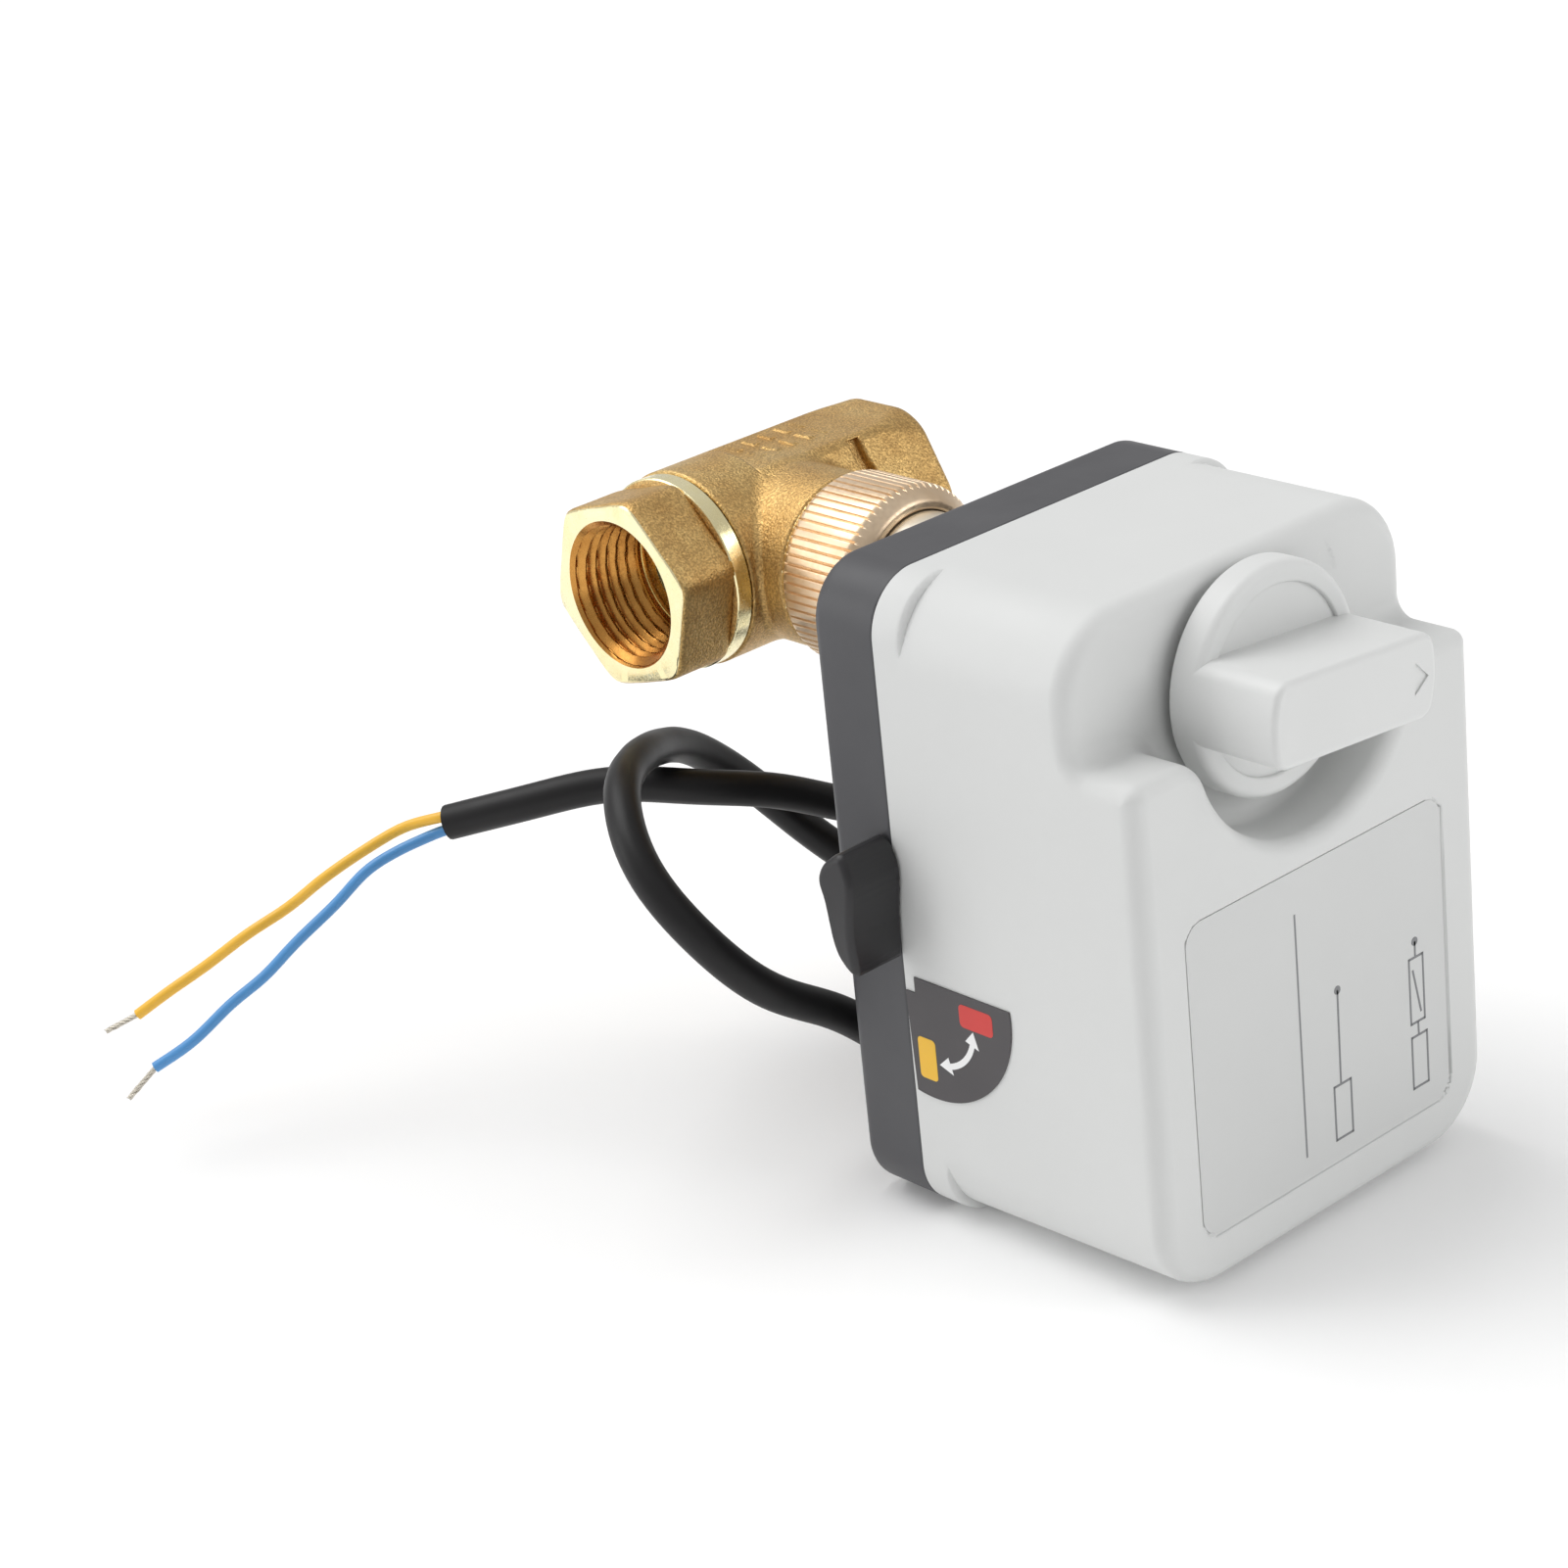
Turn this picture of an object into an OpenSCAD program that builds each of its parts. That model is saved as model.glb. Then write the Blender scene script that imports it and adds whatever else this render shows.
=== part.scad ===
/* [Valve] */
// Face-to-face length of the pipe run
face_to_face = 52; // [50:1:58]
// Wall radius of both threaded ports
port_r = 9.32; // [9.2:0.01:9.4]
// Depth of thread in each port
port_depth = 12; // [10:0.5:12]
// Width across the flats of the hexagon ends
hex_af = 25.2; // [25:0.1:27]
// Radius that the hexagon corners are turned down to
hex_corner_r = 14; // [13.8:0.05:14.2]
// Turned corner radius of the cast body's hexagon
body_corner_r = 14.4; // [14.1:0.05:14.5]
// Radius of the cast body's round barrel
barrel_r = 14.1; // [13.9:0.05:14.3]
// Radius of the ball
ball_r = 9.5; // [9.3:0.05:9.6]
// Radius of the waterway through the ball
waterway_r = 5.5; // [4.5:0.1:5.6]

/* [Union] */
// Radius of the thread on the valve's boss
boss_r = 11.5; // [11.3:0.05:11.6]
// Outside radius of the union nut
nut_r = 13.4; // [13.2:0.1:14]
// Number of knurls round the union nut
knurls = 66; // [40:2:70]
// Outside radius of the actuator's neck
neck_r = 10; // [9.6:0.1:10]

/* [Housing] */
// Width of the actuator housing
case_w = 64; // [63:0.5:68]
// Height of the actuator housing
case_h = 90.4; // [90:0.1:94]
// Height of the stem axis below the top of the housing
axis_drop = 15.4; // [15:0.1:16]
// Depth of the dark back plate
base_d = 11.3; // [11:0.1:12]
// Depth at which the cover's square-cornered lip ends
lip_d = 16.4; // [15:0.1:18]
// Depth of the recessed face behind the knob
recess_d = 44; // [43.8:0.1:45]
// Depth of the lower front face
front_d = 54.6; // [54:0.1:56]
// Wall thickness of the housing
wall = 2.2; // [2:0.1:2.4]
// Corner radius of the back plate and the cover's lip
case_r = 8; // [7:0.5:9]
// Corner radius of the cover in front of its lip
cover_r = 12; // [11:0.5:13]

/* [Knob] */
// Radius of the knob's disc
knob_r = 15.3; // [14:0.1:15.6]
// Thickness of the knob's disc
knob_disc = 4.6; // [4:0.1:5]
// Length of the grip bar
bar_l = 29.8; // [26:0.2:30]
// Width of the grip bar
bar_w = 11.4; // [9:0.2:13]
// How far the grip bar stands out of the disc
bar_d = 12.5; // [10:0.5:14]
// Angle of the grip bar below the pipe axis with the valve open
bar_turn = 5; // [0:1:8]

/* [Clutch lever] */
// Swing of the lever from automatic to manual
lever_swing = 65; // [65:1:65]
// Length of the lever below its pivot
lever_l = 11; // [9:0.5:12]
// How far the lever stands out of the side
lever_out = 9.4; // [8:0.1:10]

/* [Cable] */
// Diameter of the cable's sheath
sheath_dia = 5.1; // [4.8:0.1:5.2]
// Diameter of each insulated wire
wire_dia = 1.6; // [1.4:0.1:1.7]

/* [Hidden] */
$fn = 96;

half = face_to_face / 2;
back = 46;                      // from the pipe axis to the housing's back face
front_of_knob = recess_d + 1.4; // depth of the knob's rear edge
zt = axis_drop;                 // top of the housing above the stem axis
zb = axis_drop - case_h;        // bottom of the housing
ledge = -2.5;                     // top of the lower front block
cut_r = knob_r + 4.3;           // scoop in the lower block round the knob
piv_d = 9.2;                    // lever pivot: depth
piv_z = -25;                    // lever pivot: height
crank_r = 3.2;
idler_z = -16;
motor_z = -42;
pinion_z = -28.5;
gland_x = 8;
gland_z = -55;

// The row's origin is the mouth of the right-hand port; all shapes below are drawn about the ball's centre.
module row() translate([-half, 0, 0]) children();
function yd(d) = -back - d;
// Cylinder along Y between depths a and b of the housing
module dcyl(r, a, b, x = 0, z = 0) translate([x, yd(a), z]) rotate([90, 0, 0]) cylinder(r = r, h = b - a);
module dcone(r1, r2, a, b, x = 0, z = 0) translate([x, yd(a), z]) rotate([90, 0, 0]) cylinder(r1 = r1, r2 = r2, h = b - a);
// Cylinder along Y between two y values, b above a
module ycyl(r, a, b, x = 0, z = 0) translate([x, b, z]) rotate([90, 0, 0]) cylinder(r = r, h = b - a);
module xcyl(r, a, b, y = 0, z = 0) translate([a, y, z]) rotate([0, 90, 0]) cylinder(r = r, h = b - a);
// An outline in X and Z, given depth from a to b
module slab(a, b) translate([0, yd(a), 0]) rotate([90, 0, 0]) linear_extrude(b - a) children();
// A box between two corners, with depths
module dbox(x0, x1, a, b, z0, z1) translate([x0, yd(b), z0]) cube([x1 - x0, b - a, z1 - z0]);
module rrect(x0, x1, z0, z1, r) {
  translate([x0 + r, z0]) square([x1 - x0 - 2 * r, z1 - z0]);
  translate([x0, z0 + r]) square([x1 - x0, z1 - z0 - 2 * r]);
  for (x = [x0 + r, x1 - r], z = [z0 + r, z1 - r]) translate([x, z]) circle(r);
}
module case_outline(inset, r) rrect(-case_w / 2 + inset, case_w / 2 - inset, zb + inset, zt - inset, r);

// ---- hexagon with turned corners; the turn is that of its flats about the pipe axis ----
module hex_bar(x0, x1, turn, r) intersection() {
  xcyl(r, x0, x1);
  translate([x0, 0, 0]) rotate([turn, 0, 0]) rotate([0, 90, 0])
    cylinder(r = hex_af / 2 / cos(30), h = x1 - x0, $fn = 6);
}

module valve_body() color("goldenrod") row() difference() {
  union() {
    xcyl(barrel_r, -half + 12.2, -4);
    hex_bar(-4.1, half, 30, body_corner_r);
    ycyl(boss_r, -24.2, -6);
    ycyl(12.5, -18.4, -6);
  }
  xcyl(port_r, half - port_depth, half + 1);
  xcyl(6.5, 0, half);
  xcyl(10, -14.5, 10.5);
  xcyl(11.2, -14.5, -10.4);
  ycyl(4.06, -25, -5);
  ycyl(5.6, -12.6, -5);
  ycyl(8, -25, -21.5);
}
module end_adapter() color("gold") row() difference() {
  union() {
    hex_bar(-half, -half + 9.5, 15, hex_corner_r);
    xcyl(13.3, -half + 9.4, -half + 12.1);
    xcyl(11.15, -half + 12, -10.45);
  }
  xcyl(port_r, -half - 1, -half + port_depth);
  xcyl(6.5, -half, 0);
}
module ball() color("silver") row() difference() {
  sphere(ball_r);
  xcyl(waterway_r, -12, 12);
  translate([-4.2, -12, -1.6]) cube([8.4, 4.7, 3.2]);
}
module ball_seats() color("white") row() for (a = [90, -90]) rotate([0, a, 0]) rotate_extrude() difference() {
  translate([6, 6.9]) square([3.9, 3.5]);
  circle(ball_r + 0.08);
}
module valve_stem() color("khaki") row() difference() {
  union() {
    ycyl(4, -24, -11.4);
    ycyl(5.5, -11.5, -10.4);
    translate([-3.9, -10.6, -1.5]) cube([7.8, 3.2, 3]);
    translate([-2.5, -31, -2.5]) cube([5, 7.2, 5]);
  }
  for (y = [-15.2, -18.6]) difference() {
    ycyl(4.5, y - 0.9, y + 0.9);
    ycyl(2.55, y - 1, y + 1);
  }
}
module stem_orings() color("black") row() for (y = [-15.2, -18.6]) translate([0, y, 0]) rotate([90, 0, 0])
  rotate_extrude() translate([3.29, 0]) circle(0.72, $fn = 32);
module thrust_washer() color("white") row() difference() { ycyl(5.5, -12.5, -11.6); ycyl(4.05, -13, -11); }

// ---- union ----
module union_nut() color("gold") row() difference() {
  union() {
    intersection() {
      ycyl(nut_r, -31, -19);
      union() { dcone(nut_r + 0.2, nut_r - 0.5, -19.7, -19, 0, 0); ycyl(nut_r, -31, -19.5); ycyl(nut_r - 0.4, -20, -19); }
    }
    translate([0, -31, 0]) rotate([90, 0, 0]) cylinder(r1 = nut_r - 0.3, r2 = nut_r - 2.1, h = 2);
  }
  ycyl(boss_r + 0.08, -30, -18);
  ycyl(neck_r + 0.15, -34, -29);
  for (i = [0 : knurls - 1]) rotate([0, i * 360 / knurls, 0]) translate([nut_r + 0.1, -31.5, 0]) rotate([0, 45, 0])
    translate([-0.35, 0, -0.35]) cube([0.7, 13, 0.7]);
}
module nut_slip_washer() color("white") row() difference() { ycyl(11.4, -29.8, -28.8); ycyl(neck_r + 0.1, -31, -28); }
module actuator_neck() color("silver") row() difference() {
  union() {
    ycyl(neck_r, yd(3.5), -24.25);
    dcyl(13.6, 3.05, 5.5);
  }
  ycyl(5.06, yd(6), -24);
  ycyl(7, -25.8, -24);
  difference() { ycyl(neck_r + 0.5, -27.6, -26.3); ycyl(9.2, -28, -26); }
  for (a = [45 : 90 : 315]) dcyl(1.5, 2, 6, 11.9 * cos(a), 11.9 * sin(a));
}
module neck_retaining_ring() color("dimgray") row() difference() {
  ycyl(11.3, -27.5, -26.4);
  ycyl(9.3, -28, -26);
  translate([-1.2, -28, 8]) cube([2.4, 3, 5]);
}
module neck_screws() color("silver") row() for (a = [45 : 90 : 315]) translate([11.9 * cos(a), 0, 11.9 * sin(a)]) {
  difference() { dcyl(2.6, 5.55, 7.2); dbox(-0.4, 0.4, 6.4, 8, -2.2, 2.2); dbox(-2.2, 2.2, 6.4, 8, -0.4, 0.4); }
  dcyl(1.3, 0.8, 5.6);
}

// ---- housing ----
screw_pos = [[-25.2, zt - 6.6], [25.2, zt - 6.6], [-25.2, zb + 6.6], [25.2, zb + 6.6]];
post_pos = [[-23, 1.5], [23, 1.5], [-23, -61.5], [23, -61.5]];
module back_plate() color("dimgray") row() difference() {
  union() {
    difference() {
      slab(0, base_d) case_outline(0, case_r);
      slab(3, base_d + 1) case_outline(wall, case_r - wall);
    }
    for (p = post_pos) dcyl(3, 2.5, 21.95, p[0], p[1]);
    for (p = screw_pos) dcyl(2.85, 2.5, base_d, p[0], p[1]);
    dcyl(3.2, 2.5, 4.6, 0, idler_z);
  }
  dcyl(neck_r + 0.04, -1, 4);
  dcyl(13.8, 3, 30);
  for (a = [45 : 90 : 315]) dcyl(1.32, 0.7, 6, 11.9 * cos(a), 11.9 * sin(a));
  for (p = screw_pos) { dcyl(3.1, -1, 2, p[0], p[1]); dcyl(1.6, -1, base_d + 1, p[0], p[1]); }
  for (p = post_pos) dcyl(1.3, 10, 23, p[0], p[1]);
  dcyl(1.52, 1.5, 23, 0, idler_z);
  for (p = rod_pos) dcyl(1.27, 1.5, 23, p[0], p[1]);
  dcyl(3.62, -1, 4, gland_x, gland_z);
  translate([-case_w / 2 - 1, yd(piv_d), piv_z]) rotate([0, 90, 0]) cylinder(r = 2.56, h = 5);
  dbox(-case_w / 2 - 1, -case_w / 2 + 4, piv_d, base_d + 1, piv_z - 2.56, piv_z + 2.56);
}
module front_cover() color("gainsboro") row() difference() {
  union() {
    slab(base_d + 0.02, lip_d) case_outline(0, case_r);
    slab(lip_d - 0.1, recess_d) case_outline(0, cover_r);
    difference() {
      intersection() {
        slab(recess_d - 0.1, front_d) case_outline(0, cover_r);
        dbox(-40, 40, recess_d - 1, front_d + 1, zb - 1, ledge);
      }
      dcyl(cut_r, recess_d, front_d + 1);
    }
    dbox(-case_w / 2, -case_w / 2 + 1.9, piv_d + 0.5, base_d + 1, piv_z - 2.5, piv_z + 2.5);
  }
  difference() {
    union() {
      slab(base_d - 0.1, recess_d - wall) case_outline(wall, cover_r - wall);
      difference() {
        intersection() {
          slab(recess_d - wall - 1, front_d - wall) case_outline(wall, cover_r - wall);
          dbox(-40, 40, recess_d - wall - 2, front_d + 1, zb - 1, ledge - wall);
        }
        dcyl(cut_r + wall, recess_d - wall, front_d + 1);
      }
    }
    for (p = screw_pos) dcyl(3, base_d - 1, 60, p[0], p[1]);
    dcyl(8, recess_d - wall - 3.5, recess_d);
  }
  for (p = screw_pos) dcyl(1.42, base_d - 1, 24, p[0], p[1]);
  dcyl(4.06, recess_d - 10, recess_d + 1);
  dcyl(5.6, recess_d - 10, recess_d - 2.2);
  slab(front_d - 0.5, front_d + 1) rrect(-24.8, 24.8, zb + 7.8, zb + 52, 3.2);
  translate([-case_w / 2 - 1, yd(piv_d), piv_z]) rotate([0, 90, 0]) cylinder(r = 2.56, h = 5);
}
module cover_gasket() color("black") row() difference() {
  slab(base_d - 1.6, base_d - 0.02) case_outline(wall + 0.03, case_r - wall - 0.03);
  slab(base_d - 2, base_d + 1) case_outline(wall + 1.0, case_r - wall - 1);
  translate([-case_w / 2, yd(piv_d), piv_z]) rotate([0, 90, 0]) cylinder(r = 3.4, h = 6);
}
module cover_screws() color("silver") row() for (p = screw_pos) translate([p[0], 0, p[1]]) {
  difference() { dcyl(2.8, 0.3, 2); dbox(-0.4, 0.4, -1, 1.1, -2.3, 2.3); dbox(-2.3, 2.3, -1, 1.1, -0.4, 0.4); }
  dcyl(1.4, 1.9, 20);
}
module front_label() color("lightgray") row() slab(front_d - 0.48, front_d - 0.2) rrect(-24.5, 24.5, zb + 8.1, zb + 51.7, 3);
module mode_label() color("dimgray") row() difference() {
  intersection() {
    translate([-case_w / 2 - 0.22, yd(13), -41]) rotate([0, 90, 0]) cylinder(r = 15.6, h = 0.2);
    dbox(-40, -25, base_d + 0.15, 40, -60, -38.7);
  }
  dbox(-40, -25, 8, 13.2, -41, -30);
}

// ---- knob ----
module knob() color("gainsboro") row() difference() {
  union() {
    dcyl(knob_r, front_of_knob, front_of_knob + 2.6);
    dcone(knob_r, knob_r - 0.5, front_of_knob + 2.6, front_of_knob + knob_disc);
    rotate([0, bar_turn, 0]) intersection() {
      dcyl(knob_r, front_of_knob, front_of_knob + knob_disc + bar_d);
      dbox(-bar_l / 2, bar_l / 2, front_of_knob + 1, front_of_knob + knob_disc + bar_d, -bar_w / 2, bar_w / 2);
    }
  }
  difference() { dcyl(4.03, front_of_knob - 1, front_of_knob + 8.1); dbox(-5, 5, front_of_knob + 1, front_of_knob + 9, 3.05, 5); }
  difference() {
    dcyl(knob_r - 2, front_of_knob - 0.1, front_of_knob + 2.6);
    dcyl(7, front_of_knob - 1, front_of_knob + 3);
  }
}
module knob_shaft_oring() color("black") row() translate([0, yd(recess_d - 3.1), 0]) rotate([90, 0, 0])
  rotate_extrude() translate([4.81, 0]) circle(0.75, $fn = 32);

// ---- clutch: lever, crank, yoke ----
module lever_outline() {
  // depth runs along x of this outline, height along y
  polygon([[-1.7, -1.4], [-1, -7.5], [0, -lever_l + 1.2], [1.2, -lever_l], [2.4, -lever_l + 0.5], [2.8, -5],
    [3.5, 0.6], [3.2, 3.2], [1.9, 5.5], [0.6, 5.9], [-0.8, 5], [-2.2, 3.6], [-2.7, 1.6]]);
}
module clutch_lever() color("black") row() difference() {
  union() {
    translate([-case_w / 2 - lever_out, yd(piv_d), piv_z]) rotate([90, 0, 90]) linear_extrude(lever_out - 0.35) mirror([1, 0]) lever_outline();
    xcyl(2.5, -case_w / 2 - 2, -16, yd(piv_d), piv_z);
  }
  difference() {
    xcyl(3, -31.5, -30.3, yd(piv_d), piv_z);
    xcyl(1.55, -32, -30, yd(piv_d), piv_z);
  }
  translate([-16, yd(piv_d), piv_z]) rotate([0, -90, 0]) cylinder(r = 1.02, h = 5);
}
module lever_oring() color("black") row() translate([-30.9, yd(piv_d), piv_z]) rotate([0, 90, 0])
  rotate_extrude() translate([2.05, 0]) circle(0.46, $fn = 32);
pin_dy = crank_r * sin(lever_swing / 2);
pin_dz = -crank_r * cos(lever_swing / 2);
module clutch_crank() color("silver") row() translate([0, yd(piv_d), piv_z]) {
  xcyl(4.6, -15.95, -14.3);
  xcyl(1, -20.9, -15.9);
  xcyl(1.2, -14.4, -11.4, pin_dy, pin_dz);
}
rod_pos = [[-9.5, -33], [13.5, -11]];
module clutch_yoke() color("silver") row() difference() {
  union() {
    dcyl(5.2, 13.1, 14.2, 0, idler_z);
    for (p = rod_pos) dcyl(2.6, 11, 14.2, p[0], p[1]);
    translate([0, yd(13.1), 0]) rotate([90, 0, 0]) linear_extrude(1.1)
      polygon([[-13.9, -32.8], [-9.5, -35.6], [-6.9, -33], [-3, -20], [5, -17.6], [15.6, -12.5], [13.5, -8.4], [4, -12.8], [-4.6, -13.4], [-13.9, -24]]);
    dbox(-13.9, -12.4, 4.9, 14.2, -32, -24.4);
  }
  dcyl(3.06, 12, 15, 0, idler_z);
  translate([0, 0, 0]) dbox(-3.06, 3.06, 12, 15, idler_z, idler_z + 8);
  for (p = rod_pos) dcyl(1.33, 10, 15, p[0], p[1]);
  dbox(-15, -12, piv_d - pin_dy - 1.35, piv_d - pin_dy + 1.35, -29.6, -26.3);
}
module yoke_guide_rods() color("silver") row() for (p = rod_pos) dcyl(1.25, 1.6, 23.2, p[0], p[1]);

// ---- gears ----
function inv(a) = tan(a) * 180 / PI - a;
function half_tooth(r, m, z, bl) = let (p = m * z / 2, b = p * cos(20))
  90 / z - bl / p * 90 / PI + inv(20) - (r > b ? inv(acos(b / r)) : 0);
module gear2d(m, z, turn, bl = 0.16) {
  p = m * z / 2; b = p * cos(20); rf = p - 1.25 * m; ra = p + m;
  r0 = max(b, rf);
  steps = [for (k = [0 : 3]) r0 + (ra - r0) * k / 3];
  rotate(turn) polygon([for (i = [0 : z - 1]) each concat(
    [let (a = i * 360 / z - half_tooth(r0, m, z, bl)) [rf * cos(a), rf * sin(a)]],
    [for (r = steps) let (a = i * 360 / z - half_tooth(r, m, z, bl)) [r * cos(a), r * sin(a)]],
    [for (k = [3 : -1 : 0]) let (r = steps[k], a = i * 360 / z + half_tooth(r, m, z, bl)) [r * cos(a), r * sin(a)]],
    [let (a = i * 360 / z + half_tooth(r0, m, z, bl)) [rf * cos(a), rf * sin(a)]])]);
}
module output_shaft() color("silver") row() difference() {
  union() {
    ycyl(5, yd(7.9), -26);
    dcyl(4, 7.8, front_of_knob + 8);
  }
  translate([-2.55, -32, -2.55]) cube([5.1, 7, 5.1]);
  dbox(-5, 5, front_of_knob + 0.5, front_of_knob + 9, 3, 5);
}
module output_gear() color("white") row() difference() {
  union() {
    slab(9.5, 12.5) gear2d(0.8, 28, 0);
    dcyl(5.6, 8, 12.6);
  }
  dcyl(4.02, 7, 13);
  for (a = [30 : 60 : 330]) dcyl(1.5, 9, 13, 7.9 * cos(a), 7.9 * sin(a));
}
module limit_cam() color("white") row() difference() {
  union() {
    dcyl(6.4, 25, 34.8);
    slab(25.4, 29) intersection() { circle(8.2); polygon([[0, 0], [-3, -20], [-16, -16], [-20, -3]]); }
    slab(30.4, 34) intersection() { circle(8.2); polygon([[0, 0], [20, -3], [16, -16], [3, -20]]); }
  }
  dcyl(4.02, 24, 36);
}
module idler_gear() color("white") row() translate([0, 0, idler_z]) difference() {
  union() {
    slab(9.7, 12.7) gear2d(0.8, 12, 15);
    dcyl(3, 12.6, 14.6);
    slab(14.5, 16.5) gear2d(0.5, 38, -90);
    dcyl(4, 16.4, 17.6);
  }
  dcyl(1.56, 9, 18);
}
module idler_arbor() color("silver") row() dcyl(1.5, 1.6, 23.2, 0, idler_z);
module motor_pinion() color("silver") row() translate([0, 0, pinion_z]) {
  slab(13.9, 20.9) gear2d(0.5, 12, 15);
  dcyl(1.5, 20.8, 25.9);
}
module gear_plate() color("silver") row() difference() {
  slab(22, 23.5) rrect(-28, 28, -65, 5, 4);
  dcyl(6.02, 21, 24);
  dcyl(4.4, 21, 24, 0, pinion_z);
  dcyl(1.52, 21, 24, 0, idler_z);
  for (p = rod_pos) dcyl(1.27, 21, 24, p[0], p[1]);
  for (p = post_pos) dcyl(1.6, 21, 24, p[0], p[1]);
  for (x = [-25.5, 25.5]) dcyl(1.32, 21, 24, x, motor_z);
  for (p = board_pos) dcyl(1.12, 21, 24, p[0], p[1]);
  for (x = [-8, 8]) dcyl(0.92, 21, 24, x, -13.3);
}
module output_bush() color("gold") row() difference() { dcyl(6, 21.2, 24.3); dcyl(4.06, 20, 25); }
module plate_screws() color("silver") row() for (p = post_pos) translate([p[0], 0, p[1]]) {
  difference() { dcyl(2.5, 23.55, 25.2); dbox(-0.4, 0.4, 24.5, 26, -2, 2); dbox(-2, 2, 24.5, 26, -0.4, 0.4); }
  dcyl(1.25, 12, 23.6);
}
module motor_can() color("silver") row() difference() {
  dcyl(23, 25.15, 39.6, 0, motor_z);
  dcyl(1.6, 25, 26, 0, pinion_z);
}
module motor_flange() color("gold") row() difference() {
  slab(23.6, 25.1) translate([0, motor_z]) {
    circle(22.6);
    for (x = [-25.5, 25.5]) translate([x, 0]) circle(3.2);
    translate([-25.5, -3.2]) square([51, 6.4]);
  }
  dcyl(1.6, 23, 26, 0, pinion_z);
  for (x = [-25.5, 25.5]) dcyl(1.5, 23, 26, x, motor_z);
}
module motor_screws() color("silver") row() for (x = [-25.5, 25.5]) translate([x, 0, motor_z]) {
  difference() { dcyl(2.5, 25.15, 26.6); dbox(-0.4, 0.4, 26, 28, -2, 2); dbox(-2, 2, 26, 28, -0.4, 0.4); }
  dcyl(1.3, 21.2, 25.2);
}
module limit_switches() color("black") row() for (a = [23.6, 29.8]) difference() {
  dbox(-10, 10, a, a + 6, -18, -9.6);
  for (x = [-8, 8]) dcyl(0.95, a - 1, a + 7, x, -13.3);
}
module switch_plungers() color("white") row() for (a = [26.6, 32.8]) translate([a < 30 ? -4 : 4, yd(a), -9.55]) cylinder(r = 0.9, h = 0.9);
module switch_screws() color("silver") row() for (x = [-8, 8]) { dcyl(0.9, 21, 36, x, -13.3); dcyl(1.9, 35.85, 37, x, -13.3); }
board_pos = [[-21, -25.5], [21, -25.5], [-17.5, -63], [17.5, -63]];
module board_spacers() color("gold") row() for (p = board_pos) translate([p[0], 0, p[1]]) {
  translate([0, yd(23.55), 0]) rotate([90, 0, 0]) difference() { cylinder(r = 2.8, h = 18.4, $fn = 6); translate([0, 0, 10]) cylinder(r = 1.05, h = 9, $fn = 24); }
  dcyl(1.1, 22.05, 23.6);
}
module circuit_board() color("green") row() difference() {
  slab(42, 43.6) rrect(-24.5, 24.5, -65, -23.2, 1.5);
  for (p = board_pos) dcyl(1.3, 41, 44, p[0], p[1]);
}
module board_screws() color("silver") row() for (p = board_pos) { dcyl(2.1, 43.65, 44.8, p[0], p[1]); dcyl(1, 35, 43.7, p[0], p[1]); }
module relay() color("blue") row() dbox(-15, 4, 43.65, 51.4, -58, -43);
module capacitor() color("yellow") row() dbox(-14, 4, 43.65, 50.4, -38, -29);
module terminal_block() color("lightgreen") row() difference() {
  dbox(8.5, 18.5, 43.65, 51.4, -54, -36);
  for (z = [-49.5, -40.5]) { dcyl(2, 47, 53, 12, z); xcyl(1.6, 14, 20, yd(46.6), z); }
}

// ---- cable ----
module cable_gland() color("black") row() difference() {
  union() {
    dcyl(3.55, -1, 5, gland_x, gland_z);
    dcyl(5.6, -1.6, -0.03, gland_x, gland_z);
    translate([gland_x, yd(-1.5), gland_z]) rotate([-90, 0, 0]) cylinder(r1 = 4.6, r2 = 3.2, h = 20.5);
  }
  translate([gland_x, 0, gland_z]) for (k = [0 : 8]) translate([0, yd(-3.4 - 2 * k), 0]) rotate([90, 0, 0])
    difference() { cylinder(r = 6, h = 0.8); cylinder(r = 2.95, h = 3, center = true); }
}
module gland_nut() color("dimgray") row() difference() {
  translate([gland_x, yd(3.1), gland_z]) rotate([90, 0, 0]) cylinder(r = 6, h = 1.7, $fn = 6);
  dcyl(3.58, 2, 6, gland_x, gland_z);
}
// Route of the sheath, from the gland's nose to the stripped end, about the ball's centre
sheath_points = [[8, -24, -55], [8, -17, -54], [5, -8, -50], [1, -1, -44], [-5, 3, -36], [-14, 3, -28], [-24, -2, -23],
  [-34, -9, -20], [-43, -17, -20], [-48, -26, -26], [-46, -34, -35], [-39, -38, -44], [-29, -39, -51], [-20, -39, -59],
  [-11, -40, -67], [0, -40, -70], [11, -36, -68], [18, -29, -61], [18, -21, -52], [11, -15, -44], [0, -12, -38],
  [-10, -9, -33], [-20, -4, -30], [-28, 5, -29], [-36, 14, -31], [-43, 24, -34]];
yellow_points = [[-47, 30, -35], [-52, 34, -38], [-57, 37, -41], [-61, 41, -45], [-67, 44, -48], [-72, 48, -52], [-77, 51, -55], [-81, 54, -58]];
blue_points = [[-49, 28, -37], [-54, 30, -39], [-59, 32, -43], [-65, 34, -47], [-70, 36, -51], [-75, 38, -54], [-81, 40, -58], [-86, 43, -61]];
yellow_end = [-85, 57, -60];
blue_end = [-90, 45, -65];
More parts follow.
